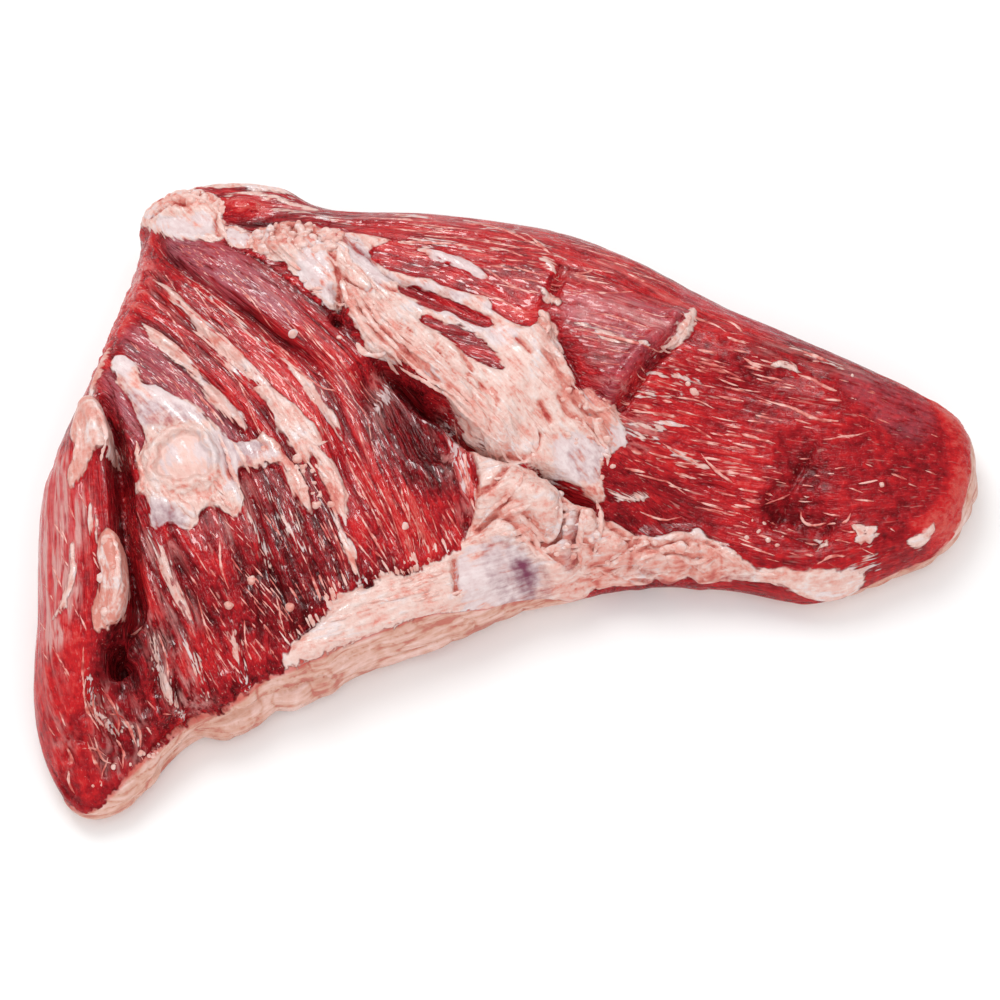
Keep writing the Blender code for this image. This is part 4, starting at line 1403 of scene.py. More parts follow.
def make_muscle():
    """Red fibre: dark gaps, backs painted lighter by their height, pale membranes between bundles,
    flecks of marbling, and pale dashes that are partly painted glints.
    """
    inputs = {"Bright": 0, "Dark": 0, "Veil": 0, "Marble": 0, "Ridge": 0.5, "Haze": 0, "Calm": 0}
    outputs = {"Colour": COLOUR, "Height": FLOAT, "Wet": FLOAT}
    tree, given, out = new_group("muscle", inputs, outputs)
    bundles = streaks(tree, 40, 4.0, 1)
    strands = streaks(tree, 15, 1.3, 2)
    threads = streaks(tree, 5.5, 0.55, 3)
    blotches = mottle(tree, 20, 1)
    cells = mottle(tree, 2.6, 2)
    # each tone is a weighted sum of patterns, brought back to a middle of about 0.5
    streaky = summed(tree, 0, (bundles, 0.34), (strands, 0.50), (threads, 0.36), (cells, 0.20))
    mottled = summed(tree, 0.295, (strands, 0.15), (cells, 0.50), (threads, 0.14))
    calmed = calc(tree, "SUBTRACT", mottled, streaky)
    # the bundles' height (Ridge) paints their backs lighter and the gaps darker: painted light and
    # shade
    tone = summed(tree, streaky, (calmed, given["Calm"]), (blotches, 0.30), (given["Ridge"], 0.26))
    # Dark darkens dark meat and paints shade into the hollows, folds and cuts
    tone = summed(tree, tone, (given["Bright"], 0.15), (given["Dark"], -0.16))
    tone = calc(tree, "SUBTRACT", tone, 0.465)
    stops = (
        (0.24, DEEP_RED), (0.80, PINK_RED), (0.38, DARK_RED), (0.50, MID_RED), (0.66, BRIGHT_RED),
    )
    red = ramped(tree, tone, stops)
    veil = times(tree, given["Veil"], stepped(tree, strands, 0.25, 0.60))
    red = mixed(tree, times(tree, veil, 0.80), red, (*VEIL_LILAC, 1))
    haze = times(tree, given["Haze"], dashes(tree, 22, 2.6, 15, 0.38, 0.66))
    haze = times(tree, haze, stepped(tree, strands, 0.30, 0.62))
    red = mixed(tree, times(tree, haze, 0.85), red, (*HAZE_PINK, 1))
    flecks = times(tree, dashes(tree, 9, 0.9, 13, 0.68, 0.76), given["Marble"])
    # pale dashes along the grain: partly thin threads, partly painted glints
    pale_threads_and_glints = times(tree, dashes(tree, 7, 0.50, 14, 0.68, 0.78), 0.5)
    pale = calc(tree, "MAXIMUM", times(tree, flecks, 0.7), pale_threads_and_glints)
    shown = summed(tree, 0.9, (given["Dark"], -0.5))
    shown = times(tree, shown, summed(tree, 1, (given["Calm"], -0.6)))
    pale = times(tree, pale, shown)
    relief = times(tree, strands, summed(tree, 1.6, (given["Calm"], -0.9)))
    relief = summed(tree, relief, (threads, 0.7), (cells, 0.9), (pale, 0.10))
    glints = dashes(tree, 3.4, 0.45, 21, 0.60, 0.66)
    glints = times(tree, glints, summed(tree, 1, (given["Calm"], -0.75)))
    drops = times(tree, stepped(tree, mottle(tree, 0.9, 22), 0.66, 0.72), 0.6)
    colour = mixed(tree, pale, red, (*MEMBRANE_AND_GLINT, 1))
    give(tree, out, Colour=colour, Height=relief, Wet=calc(tree, "MAXIMUM", glints, drops))
    return tree


MUSCLE = make_muscle()
print("nodes in the muscle:", len(MUSCLE.nodes))

# %% [markdown]
# Fat is white on its lumps and pink to blood red in its folds, partly stain and partly painted shade,
# so its colour is a tone on a ramp too.
# Silverskin has a bluish ramp of its own, and a torn mask leads from one to the other. The side of the
# cap is a third finish, with level layers, painted shade between its layers and clods, and a red line
# where it meets the meat.

# %% Fat and silverskin
CREAM = (0.755, 0.485, 0.428)
WHITE_FAT = (0.820, 0.645, 0.595)
FLUSHED = (0.670, 0.250, 0.200)
PINK_FAT = (0.690, 0.260, 0.210)
BLOODY_FAT = (0.450, 0.060, 0.050)
SILVER = (0.620, 0.445, 0.445)
SILVER_LIGHT = (0.770, 0.640, 0.635)
BRUISE = (0.190, 0.045, 0.085)
CAP_TAN = (0.620, 0.335, 0.255)
CAP_PINK = (0.520, 0.170, 0.130)


def make_fat():
    """Cream fat that turns pink in its folds, partly as painted shade, and bluish where it is thin."""
    inputs = {"Silver": 0, "Crease": 0, "Disc": 0, "Flush": 0, "Bruise": 0, "Thin": 0}
    tree, given, out = new_group("fat", inputs, {"Colour": COLOUR, "Height": FLOAT, "Wet": FLOAT})
    broad = mottle(tree, 9, 5)
    small = mottle(tree, 2.4, 6)
    grit = mottle(tree, 0.9, 7)
    cords = use_group(tree, CORDS, length=9, width=1.5, seed=8)[0]
    tone = summed(tree, -0.025, (broad, 0.35), (small, 0.25), (cords, 0.35), (grit, 0.10))
    # creases and folds darken the tone to pink and blood red: painted shade, partly stain
    tone = summed(tree, tone, (given["Crease"], -0.17))
    smooth = times(tree, calc(tree, "SUBTRACT", 0.462, tone), given["Disc"])
    tone = summed(tree, tone, (smooth, 0.75))
    stops = ((0.26, BLOODY_FAT), (0.60, WHITE_FAT), (0.37, PINK_FAT), (0.46, CREAM))
    cream = ramped(tree, tone, stops)
    flush = times(tree, given["Flush"], stepped(tree, tone, 0.62, 0.42))
    cream = mixed(tree, times(tree, flush, 0.8), cream, (*FLUSHED, 1))
    blue = ramped(tree, tone, ((0.30, BLOODY_FAT), (0.60, SILVER_LIGHT), (0.40, SILVER)))
    torn = summed(tree, given["Silver"], (broad, 3.2), (cords, 2.6))
    torn = summed(tree, torn, (given["Thin"], 0.35), (given["Disc"], 0.45))
    torn = calc(tree, "SUBTRACT", torn, 2.9)
    colour = mixed(tree, stepped(tree, torn, 0.25, 0.95), cream, blue)
    seen = calc(tree, "ADD", summed(tree, given["Bruise"], (cords, -1.0), (small, -0.8)), 0.9)
    inside = stepped(tree, given["Bruise"], 0.0, 0.4)
    seen = times(tree, stepped(tree, seen, 0.0, 1.5), inside)
    colour = mixed(tree, seen, colour, (*BRUISE, 1))
    relief = summed(tree, 0, (broad, 1.2), (small, 1.1), (grit, 0.30), (cords, 1.0))
    smooth = calc(tree, "MAXIMUM", given["Silver"], given["Disc"])
    relief = times(tree, relief, summed(tree, 1, (smooth, -0.5)))
    glints = stepped(tree, summed(tree, cords, (grit, 0.5)), 0.86, 0.98)
    give(tree, out, Colour=colour, Height=relief, Wet=glints)
    return tree


def make_cap():
    """The cut side of the fat cap: tan layers that run level round the piece."""
    outputs = {"Colour": COLOUR, "Height": FLOAT}
    tree, given, out = new_group("fat_cap", {"Depth": 0, "Crease": 0}, outputs)
    place = add_node(tree, "ShaderNodeTexCoord").outputs["Object"]
    squeeze = {0: place, 1: (55, 55, 380)}
    place = made(tree, "ShaderNodeVectorMath", squeeze, operation="MULTIPLY")
    layers = {"Vector": place, "Scale": 1, "Detail": 3, "Roughness": 0.6, "Distortion": 0.3}
    layers = add_node(tree, "ShaderNodeTexNoise", layers).outputs["Fac"]
    small = mottle(tree, 3, 9)
    broad = mottle(tree, 16, 10)
    # the crease between layers and clods darkens the tan: painted shade
    tone = summed(tree, 0, (layers, 0.50), (small, 0.22), (broad, 0.28), (given["Crease"], -0.10))
    tan = ramped(tree, tone, ((0.40, CAP_PINK), (0.68, WHITE_FAT), (0.47, CAP_TAN), (0.575, CREAM)))
    line = calc(tree, "SUBTRACT", 1, stepped(tree, given["Depth"], 0.2, 1.3))
    colour = mixed(tree, times(tree, line, 0.55), tan, (*BRIGHT_RED, 1))
    give(tree, out, Colour=colour, Height=summed(tree, 0, (layers, 1.2), (small, 0.5)))
    return tree


FAT = make_fat()
CAP = make_cap()
print("nodes in the fat and the cap:", len(FAT.nodes), len(CAP.nodes))

# %% [markdown]
# One material covers the whole body, because fat and muscle have no clean border. The drawn depth is
# cut at zero with noise added, so that the fat ends in shreds. A thin clear coat, strongest in small
# glints, makes all of it wet.

# %% The body's material
def make_surface():
    """Fat and cap torn over muscle, all of it wet."""
    wet = {"Specular_IOR_Level": 0.08, "Coat_Roughness": 0.08}
    material, tree, shader = new_material("raw_beef_surface", **wet)
    red_names = ("bright", "dark", "veil", "marble", "ridge", "haze", "calm")
    fat_names = ("silver", "crease", "disc", "flush", "bruise", "thin")
    read = {name: attribute(tree, name) for name in (*red_names, *fat_names, "pale", "cap")}
    muscle = use_group(tree, MUSCLE, **{name: read[name] for name in red_names})
    fat = use_group(tree, FAT, **{name: read[name] for name in fat_names})
    cap = use_group(tree, CAP, depth=read["cap"], crease=read["crease"])
    edge = {"depth": read["pale"], "tear": 1.1, "softness": 0.8, "thin": read["thin"]}
    over = use_group(tree, TORN_EDGE, **edge)[0]
    over = times(tree, over, summed(tree, 1, (read["thin"], -0.15)))
    below = use_group(tree, TORN_EDGE, depth=read["cap"], tear=1.2, softness=0.8)[0]
    colour = mixed(tree, over, muscle["Colour"], fat["Colour"])
    colour = mixed(tree, below, colour, cap["Colour"])
    plain = calc(tree, "MAXIMUM", over, below)
    glints = mixed(tree, over, muscle["Wet"], fat["Wet"])
    relief = times(tree, muscle["Height"], calc(tree, "SUBTRACT", 1, plain))
    pale = times(tree, calc(tree, "ADD", fat["Height"], 0.4), over)
    relief = summed(tree, relief, (pale, calc(tree, "SUBTRACT", 1, below)), (cap["Height"], below))
    bump = {"Height": relief, "Distance": 0.0011, "Strength": 0.8}
    give(
        tree,
        shader.inputs,
        Base_Color=colour,
        Roughness=summed(tree, 0.25, (plain, 0.15)),
        Coat_Weight=summed(tree, 0.08, (glints, 0.90)),
        Normal=made(tree, "ShaderNodeBump", bump),
    )
    return material


surface_material = make_surface()
for body in bodies:
    body.data.materials.append(surface_material)
    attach(body, "root")
    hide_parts("tri_tip")
print("dressed:", ", ".join(body.name for body in bodies))

# %% [markdown]
# ## Strands laid on the meat
#
# Marbling, membranes between bundles and cords of fat are thin things that lie on the meat and follow
# its grain. They are real geometry, because their crisp edges and small shadows are what makes raw
# meat look cut. Each strand is a curve: its path is drawn on the plan or traced along the grain, and
# then dropped onto the body. One Geometry Nodes tree turns all the curves of a kind into flattened,
# uneven tubes, half sunk in the meat.

# %% Paths along the grain
STRAND_STEP = 1.2


def flow_way(maps):
    """The unit direction of a flow at every square."""
    slope = np.stack(np.gradient(maps[0], PITCH), axis=-1)
    return slope / np.maximum(np.linalg.norm(slope, axis=-1, keepdims=True), 1e-9)


def chosen_way(flows, numbers):
    """The direction that holds at each square, where several flows meet."""
    ways = np.stack([flow_way(pair) for pair in flows])
    return np.take_along_axis(ways, numbers[None, ..., None], axis=0)[0]


def trace(start, length, way, draw, allowed=None):
    """A path that follows a flow from its start, wanders a little and stays on allowed ground."""
    place, path = np.array(start, float), [np.array(start, float)]
    bend, phase = draw.uniform(0.02, 0.10), draw.uniform(0, 6.3)
    for number in range(max(2, round(length / STRAND_STEP))):
        spot = (place - (PLAN_X[0], PLAN_Y[0])) / PITCH
        spot = tuple(np.clip(spot, 0, np.array(PLAN_SHAPE) - 1).astype(int))
        if allowed is not None and not allowed[spot]:
            break
        turn = bend * math.sin(phase + number * STRAND_STEP / 4)
        x, y = way[spot]
        heading = (x * math.cos(turn) - y * math.sin(turn), x * math.sin(turn) + y * math.cos(turn))
        place = place + STRAND_STEP * np.array(heading)
        path.append(place)
    return np.array(path)


def scattered(regions, way, allowed):
    """Strands traced from random places in each region: (width, path) pairs."""
    found = []
    for seed, (number, lengths, widths, *loop) in enumerate(regions.values()):
        draw = np.random.default_rng(300 + seed)
        spots = PLAN_PLACES[inside_map(smooth_curve(loop, closed=True)[:-1]) & allowed]
        for start in draw.choice(spots, int(number)):
            length = draw.uniform(*lengths)
            width = widths[0] + (widths[1] - widths[0]) * draw.random() ** 2
            found.append((width, trace(start, length, way, draw, allowed)))
    return found


GRAIN_WAY = chosen_way(GRAIN, SHEETS)
FAT_WAY = chosen_way(FLOW, FLOW_REGIONS)
print("mean way of the grain:", GRAIN_WAY.mean((0, 1)).round(2))

# %% Curves dropped onto the body
def surface_of(mesh):
    build = bmesh.new()
    build.from_mesh(mesh)
    tree = BVHTree.FromBMesh(build)
    build.free()
    return tree


SURFACE = surface_of(body_mesh)
RAY_HEIGHT = 0.2  # rays fall from here, well above the meat


def lay(path, lift):
    """The path's points on the surface, raised or sunk by `lift` mm, without small jumps."""
    hits = [SURFACE.ray_cast(Vector((x * MM, y * MM, RAY_HEIGHT)), Vector((0, 0, -1))) for x, y in path]
    spots = np.array([hit[0] + hit[1] * lift * MM for hit in hits if hit[0] is not None])
    for _ in range(2):
        if len(spots) > 3:
            spots[1:-1, 2] = (spots[:-2, 2] + 2 * spots[1:-1, 2] + spots[2:, 2]) / 4
    return spots


def strand_curves(name, strands, lift, blunt=0.6):
    """One curve object with a spline for each strand, thin at both ends."""
    curve = bpy.data.curves.new(name, "CURVE")
    curve.dimensions = "3D"
    draw = np.random.default_rng(len(name))
    for width, path in strands:
        if len(path) < 3:
            continue
        spots = lay(path, lift * width)
        if len(spots) < 3:
            continue
        share = np.linspace(0, 1, len(spots))
        taper = np.sin(math.pi * share ** draw.uniform(0.7, 1.4)) ** blunt
        radii = width * MM / 2 * (0.12 + 0.88 * taper) * draw.uniform(0.75, 1.2, len(spots))
        spline = curve.splines.new("POLY")
        spline.points.add(len(spots) - 1)
        spline.points.foreach_set("co", np.column_stack([spots, np.ones(len(spots))]).ravel())
        spline.points.foreach_set("radius", radii)
    return add_object(name, curve)


print("top of the body, mm:", round(lay([DISC[:2]], 0)[0, 2] / MM), "at the disc")


# %% Small helpers for Geometry Nodes
def new_geometry_tree(name, sizes):
    """A Geometry Nodes tree with named inputs: sizes as numbers, and a material."""
    tree = bpy.data.node_groups.new(name, "GeometryNodeTree")
    tree.interface.new_socket("Geometry", in_out="INPUT", socket_type="NodeSocketGeometry")
    for socket, start in sizes.items():
        kind = "NodeSocketInt" if isinstance(start, int) else FLOAT
        tree.interface.new_socket(socket, in_out="INPUT", socket_type=kind).default_value = start
    tree.interface.new_socket("Material", in_out="INPUT", socket_type="NodeSocketMaterial")
    tree.interface.new_socket("Geometry", in_out="OUTPUT", socket_type="NodeSocketGeometry")
    return tree, add_node(tree, "NodeGroupInput").outputs, add_node(tree, "NodeGroupOutput").inputs


def scaled(tree, vector, scale):
    links = {0: vector, "Scale": scale}
    return made(tree, "ShaderNodeVectorMath", links, operation="SCALE")


def add_lumps(tree, shape, size, height, seed):
    """Push a shape's points in and out along their normals by noise."""
    noise = {"Scale": calc(tree, "DIVIDE", 1, size), "Detail": 1, "W": seed}
    noise = add_node(tree, "ShaderNodeTexNoise", noise, noise_dimensions="4D").outputs["Fac"]
    push = times(tree, calc(tree, "SUBTRACT", noise, 0.5), height)
    normal = made(tree, "GeometryNodeInputNormal")
    moved = {"Geometry": shape, "Offset": scaled(tree, normal, push)}
    return made(tree, "GeometryNodeSetPosition", moved)


def finish_tree(tree, shape, flow_map, material, out):
    """Store the fat's flow as a UV map, realize, smooth and set the material."""
    stored = {"Geometry": shape, "Name": "flow", "Value": flow_map}
    kinds = {"data_type": "FLOAT2", "domain": "CORNER"}
    shape = made(tree, "GeometryNodeStoreNamedAttribute", stored, **kinds)
    shape = made(tree, "GeometryNodeSetShadeSmooth", {"Geometry": shape})
    shape = made(tree, "GeometryNodeRealizeInstances", {"Geometry": shape})
    coat = {"Geometry": shape, "Material": material}
    tree.links.new(made(tree, "GeometryNodeSetMaterial", coat), out[0])


def grow(source, tree, **inputs):
    """Run a tree on an object and leave the result as a plain mesh piece with the same name."""
    modifier = source.modifiers.new(tree.name, "NODES")
    modifier.node_group = tree
    given = {name.replace("_", " "): value for name, value in inputs.items()}
    for item in tree.interface.items_tree:
        if item.in_out == "INPUT" and item.name in given:
            modifier[item.identifier] = given[item.name]
    depsgraph = bpy.context.evaluated_depsgraph_get()
    mesh = bpy.data.meshes.new_from_object(source.evaluated_get(depsgraph))
    name = source.name
    bpy.data.objects.remove(source)
    piece = add_object(name, mesh)
    size = [round(side / MM) for side in piece.dimensions]
    print(name, "triangles:", sum(len(face.vertices) - 2 for face in mesh.polygons), "size, mm:", size)
    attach(piece, "root")
    return piece


# %% Curves to uneven tubes
def make_tube_tree():
    """Tubes along curves: flattened, lumpy, closed at both ends."""
    sizes = {"Sides": 8, "Flatness": 0.5, "Lump Size": 0.002, "Lump Height": 0.0002, "Seed": 1.0}
    tree, given, out = new_geometry_tree("tubes", sizes)
    upright = add_node(tree, "GeometryNodeSetCurveNormal", {"Curve": given["Geometry"]}, mode="Z_UP")
    length = add_node(tree, "GeometryNodeSplineParameter").outputs["Length"]
    capture = add_node(tree, "GeometryNodeCaptureAttribute", {"Geometry": upright.outputs[0]})
    capture.capture_items.new("FLOAT", "Length")
    tree.links.new(length, capture.inputs["Length"])
    ring = {"Resolution": given["Sides"], "Radius": 1.0}
    ring = made(tree, "GeometryNodeCurvePrimitiveCircle", ring)
    flat = {"X": 1.0, "Y": given["Flatness"], "Z": 1.0}
    flat = made(tree, "ShaderNodeCombineXYZ", flat)
    ring = made(tree, "GeometryNodeTransform", {"Geometry": ring, "Scale": flat})
    radius = made(tree, "GeometryNodeInputRadius")
    tube = {"Curve": capture.outputs[0], "Profile Curve": ring, "Scale": radius, "Fill Caps": True}
    tube = made(tree, "GeometryNodeCurveToMesh", tube)
    tube = add_lumps(tree, tube, given["Lump Size"], given["Lump Height"], given["Seed"])
    place = made(tree, "GeometryNodeInputPosition")
    place = add_node(tree, "ShaderNodeSeparateXYZ", {0: place}).outputs
    along = times(tree, capture.outputs["Length"], 1000)
    across = times(tree, calc(tree, "ADD", place["X"], place["Y"]), 700)
    flow_map = made(tree, "ShaderNodeCombineXYZ", {"X": along, "Y": across})
    finish_tree(tree, tube, flow_map, given["Material"], out)
    return tree


TUBES = make_tube_tree()
print("nodes in the tubes:", len(TUBES.nodes))

# %% Materials of the laid pieces
def make_soft_fat(name, flush, crease):
    """The body's fat for pieces that lie on it."""
    wet = {"Specular_IOR_Level": 0.08, "Roughness": 0.4, "Coat_Roughness": 0.08}
    material, tree, shader = new_material(name, **wet)
    fat = use_group(tree, FAT, flush=flush, crease=crease)
    coat = summed(tree, 0.08, (fat["Wet"], 0.5))
    bump = {"Height": fat["Height"], "Distance": 0.0008, "Strength": 0.6}
    bump = made(tree, "ShaderNodeBump", bump)
    give(tree, shader.inputs, Base_Color=fat["Colour"], Coat_Weight=coat, Normal=bump)
    return material


MARBLING_PALE = (0.790, 0.430, 0.375)
MARBLING_PINK = (0.620, 0.150, 0.120)
MARBLING_RED = (0.440, 0.045, 0.040)


def make_marbling():
    """Thin fat that the red shows through here and there."""
    material, tree, shader = new_material("marbling_fat", Roughness=0.35, Specular_IOR_Level=0.15)
    stops = ((0.37, MARBLING_RED), (0.62, MARBLING_PALE), (0.47, MARBLING_PINK))
    give(tree, shader.inputs, Base_Color=ramped(tree, mottle(tree, 4, 31), stops))
    return material


STRAND_FAT = make_soft_fat("strand_fat", 0.35, 0.10)
MARBLING_FAT = make_marbling()
print("materials:", STRAND_FAT.name, MARBLING_FAT.name)

# %% [markdown]
# The larger threads of the marbling stand at drawn places, and many small ones are traced along the
# grain from random starts inside drawn regions. They stay off the fat and out of the darkest hollows.

# %% Threads that stand out
# width, then the path
DRAWN_LINES = rows("""
# left sheet
0.9, -114 72, -108 66, -103 60, -97 55, -92 51
0.7, -112 68, -106 61, -100 55, -95 50, -91 46
0.7, -120 62, -112 55, -104 47, -97 40
0.9, -77 35, -71 29, -65 24, -60 22, -56 19, -52 14
0.8, -69 41, -66 36, -61 31, -56 24, -53 18
0.8, -88 37, -82 31, -76 25, -71 20
0.7, -104 38, -98 32, -93 26, -89 20
0.8, -112 26, -106 20, -100 13, -96 7
1, -57 1, -54 -7, -50 -16, -46 -24, -41 -34
0.9, -52 -22, -47 -31, -41 -41
0.8, -57 -30, -52 -34, -47 -40
0.9, -45 -13, -40 -24, -36 -37
0.8, -40 -12, -36 -22, -31 -34
0.9, -36 -20, -31 -29, -27 -38
0.8, -31 -22, -27 -30, -23 -36
1.3, -22 13, -18 4, -17 -6, -14 -16, -11 -26
1.2, -19 12, -16 2, -15 -8, -13 -18
0.8, -62 -24, -57 -36, -54 -46
0.8, -67 -44, -64 -52, -61 -60
0.8, -78 -52, -76 -60, -74 -67
1, -97 -34, -96 -44, -93 -52
0.9, -104 -52, -101 -62, -98 -70
0.9, -88 -60, -87 -70, -84 -77
# right sheet
1.6, 24 44, 28 42, 34 40, 40 38.5, 46 36, 51 37, 55 41
1, 18 58, 28 59, 36 60, 43 61
1, 20 69, 26 69, 31 72
1.1, 41 70, 46 67, 51 65
0.9, 21 61, 26 65
1.2, 26 50, 34 49, 42 46, 48 44
1.4, -20 83, -12 81.5, -7 80
1.1, -6 82, 0 79, 5 76
1.4, -12 97, -6 93, 0 90, 5 86, 9 83, 12 80
1.2, 5 90, 9 85, 13 79, 16 76
1, -10 87, -4 84, 2 82
1.1, -14 63, -8 59, -2 56, 3 52
1, -4 67, 2 62, 7 60
0.9, -8 71, -3 66
0.9, 0 72, 8 68, 12 66
1.6, -38 84.5, -30 84, -20 83
1.6, 100 41, 104 39, 110 36
1.6, 99 30, 104 28, 108 25, 113 23
1.1, 107 20, 114 19.5
1.7, 84 22, 90 19, 96 17, 101 14, 106 12, 113 11.5
1, 97 12.5, 103 10.5
1, 101 5.5, 108 5, 112 6, 118 7, 124 9.5
1.3, 84 9.5, 89 7.5
1, 118 -10, 125 -8.5
0.9, 109 -5, 114 -4.5
0.9, 116 -15.5, 123 -16
1.5, 65 1.5, 68 -2, 72 -6, 76 -9
1.3, 62 11, 69 6.5
1.2, 71 32.5, 79 28.5
1.6, 80 36, 84 33, 87 32
1.1, 87 29, 94 27.5
1.1, 75 44, 82 41
1.2, 62 52, 70 50, 75 46
1.3, 72 54, 77 52, 80 48, 81 44
1, 86 -16, 90 -14, 95 -12
1.4, 99 -16, 99 -20, 102 -22, 107 -22
1.2, 107 -22.5, 113 -23, 115 -20
1.6, 103 -37, 108 -34.5, 113 -34
1, 38 15, 46 15, 56 14.5
1.1, 52 4.5, 58 1, 64 -2
0.9, 42 -5.5, 50 -7, 54 -8, 60 -12
1, 55 21, 64 20, 70 17
1, 44 -18, 52 -20, 58 -19
# tip
1.2, -137 -85, -136 -92, -131 -97
1.2, -131 -92, -126 -94, -122 -102
1, -142 -104, -136 -103, -131 -106
1, -136 -98, -133 -106, -128 -108
1, -140 -70, -140 -80, -139 -88
1.6, -139 -82, -139.5 -88, -137 -94, -134 -98
1.3, -134 -84, -131 -88, -128 -93, -128 -98
1.4, -146 -101, -143 -106, -144 -112, -142 -116
1.2, -138 -101, -136 -106, -133 -111
1.5, -129 -99, -126 -104, -126 -110
1.2, -123 -92, -121 -98, -121 -104
1, -131 -106, -133 -111, -133 -117
1.2, -119 -88, -115 -92, -111 -92
1, -116 -66, -113 -74, -112 -82
1.2, -126 -64, -121 -63, -117 -66
""")
print("drawn threads:", len(DRAWN_LINES))

# %% Marbling
# number, shortest and longest, thinnest and widest in mm, then the patch
MARBLING_REGIONS = table("""
left sheet: 46, 10 30, 0.4 0.8, -124 84, -96 74, -66 46, -50 26, -50 -6, -56 -22, -90 -22, -84 8,
  -104 18, -126 50
near part: 150, 2.5 9, 0.4 1, -100 -28, -60 -24, -48 -10, -30 -14, -16 -22, -30 -40, -52 -48, -70 -64,
  -98 -84, -112 -70
far muscle: 50, 6 20, 0.5 1.1, -80 100, -40 99, 8 90, 44 74, 36 66, 14 58, -4 62, -44 82
flap: 12, 6 16, 0.5 0.9, 18 68, 40 66, 56 52, 46 36, 36 20, 26 24, 16 44
left of the lobe: 120, 3 10, 0.6 1.7, 36 18, 60 40, 84 40, 84 -30, 64 -20, 40 -12
lobe: 44, 2 7, 0.5 1, 84 44, 112 32, 146 20, 148 -14, 110 -34, 84 -30
membrane strip: 60, 2 6, 0.35 0.6, -120 90, -104 85, -90 74, -76 56, -80 54, -98 65, -112 77
purple strip: 34, 2 6, 0.35 0.6, -132 46, -116 34, -98 12, -104 14, -120 24, -130 36
rim of the lobe: 18, 3 8, 0.6 1.2, 84 -20, 126 -26, 136 -26, 110 -36, 86 -34
tip: 14, 4 9, 0.5 1, -156 -72, -140 -70, -118 -98, -132 -112, -150 -100
rolled edge: 14, 4 12, 0.5 1, -156 -4, -140 -8, -138 -64, -156 -64
""")

bare = (PLAN["pale"] < -0.6) & (PLAN["dark"] < 0.6)
lines = scattered(MARBLING_REGIONS, GRAIN_WAY, bare)
lines += [(width, smooth_curve(path, STRAND_STEP)) for width, *path in DRAWN_LINES]
marbling = strand_curves("marbling", lines, lift=-0.02)
sizes = {"Sides": 6, "Flatness": 0.26, "Lump_Size": 0.0016, "Lump_Height": 0.0003}
grow(marbling, TUBES, Material=MARBLING_FAT, **sizes)

# %% [markdown]
# Fat has cords too: rolled edges, ribbons along the band and folds of the knot. They are thicker than
# the marbling and lie on the fat. Along an edge the knife has drawn short spurs out of the fat, which
# look like the teeth of a comb.

# %% Cords that stand out
# width, then the path
FAT_CORDS = table("""
curl at the head of the crevice: 3, -53 41, -50.5 37, -46 35.5, -42 36
second curl: 2.6, -49 42, -45 38.5, -40 35, -37 31.5
edge of the crevice: 2.4, -38 32, -30 24, -22 17, -15 9, -8 3, -2 -1
beside the edge: 2, -40 37, -32 28, -24 20, -16 12, -8 5
ribbon: 2.6, -58 60, -54 52, -50 44, -45 38, -38 31
second ribbon: 2.2, -56 63, -51 54, -46 45, -40 38
third ribbon: 2, -53 62, -48 54, -44 46
orange ribbon: 2.6, -46 51, -42 46, -37 40, -31 32, -24 25
rim of the field: 3, 10 52, 13 46, 12.5 40
second of the rim: 2.6, 14 41, 17.5 37, 16.5 32, 19 27, 22.5 23
third of the rim: 2.2, 22 22, 24 18, 29 14, 34 15
fold of the foot: 2, 28 12, 30 6, 33 1, 33 -4
second of the foot: 1.8, 24 12, 26 8, 30 4
neck: 3, 8 8, 8.5 2, 7.5 -5
fold of the upper knot: 2.2, -12 -29, -7 -24, -2 -20, 3 -15, 4 -9
rim of the big lump: 3.2, 3 -25, 8 -27.5, 12 -30, 15 -28.5, 16.5 -23, 16.5 -16
pink folds: 2.4, 4 -29, 8 -31, 10 -35, 15 -38
second pink fold: 2, 2 -31, 6 -33, 9 -37
right of the knot: 3, 25 -17, 24.5 -24, 23 -31, 23.5 -37
second right of the knot: 2.4, 29 -15, 30.5 -20, 30 -27, 28 -34
knobs of the near rim: 3, 46 -30, 51 -31.5, 57 -31, 62 -32.5
second knobs: 2.6, 52 -34, 58 -34, 63 -34.5, 68 -34
near rim: 2.2, 30 -37, 38 -38, 46 -37, 54 -37
end of the rim: 2, 66 -30, 74 -34, 82 -37, 92 -39
corner of the flap: 2.6, 54 40, 58 44, 61.5 49, 63 54
second of the corner: 2.2, 52 38.5, 57 42, 60 46
tag below the disc: 3.4, -112 -21, -108 -23, -105.5 -27
folded edge by the disc: 2, -127 4, -126 -3, -124 -10, -124 -16
right of the disc: 2.2, -99 5, -96 -1, -94 -8, -91 -15
second right of the disc: 1.8, -95 3, -91 -3, -88 -9
red strip's edge: 2, -75 8, -70 4, -66 1, -62 3
top of the band: 3.2, -88 84, -85 88, -86 93
second of the top: 3, -80 85, -79 90, -82 95
third of the top: 3, -74 84, -74 89, -76 94
fourth of the top: 2.6, -70 80, -67 84, -66 89
fifth of the top: 2.4, -62 84, -58 80, -57 76
sixth of the top: 2.4, -58 78, -56 72, -58 68
by the notch: 2.2, -59 66, -57.5 60, -56 54
blunt corner: 2.4, -131 102, -128 107, -121 109, -113 108, -107 105
second of the corner of the band: 2, -103 104, -104 98, -102 92, -100 87
head of the rolled edge: 2.6, -143 18, -139 10, -137 2, -138 -6
second of the head: 2.4, -148 12, -146 4, -147 -6
rolled lump: 2.6, -133 -34, -130 -42, -129 -52, -130 -60
strip's end: 2, -60 -8, -57 -16, -56 -24, -55 -29
second strip's end: 2, -64 -4, -60 -11, -59 -18
fork's end: 2, -58 -30, -54 -38, -51 -47
meat strip by the disc: 1.8, -72 -8, -69 -16, -67 -24
""")
print("drawn cords:", len(FAT_CORDS))

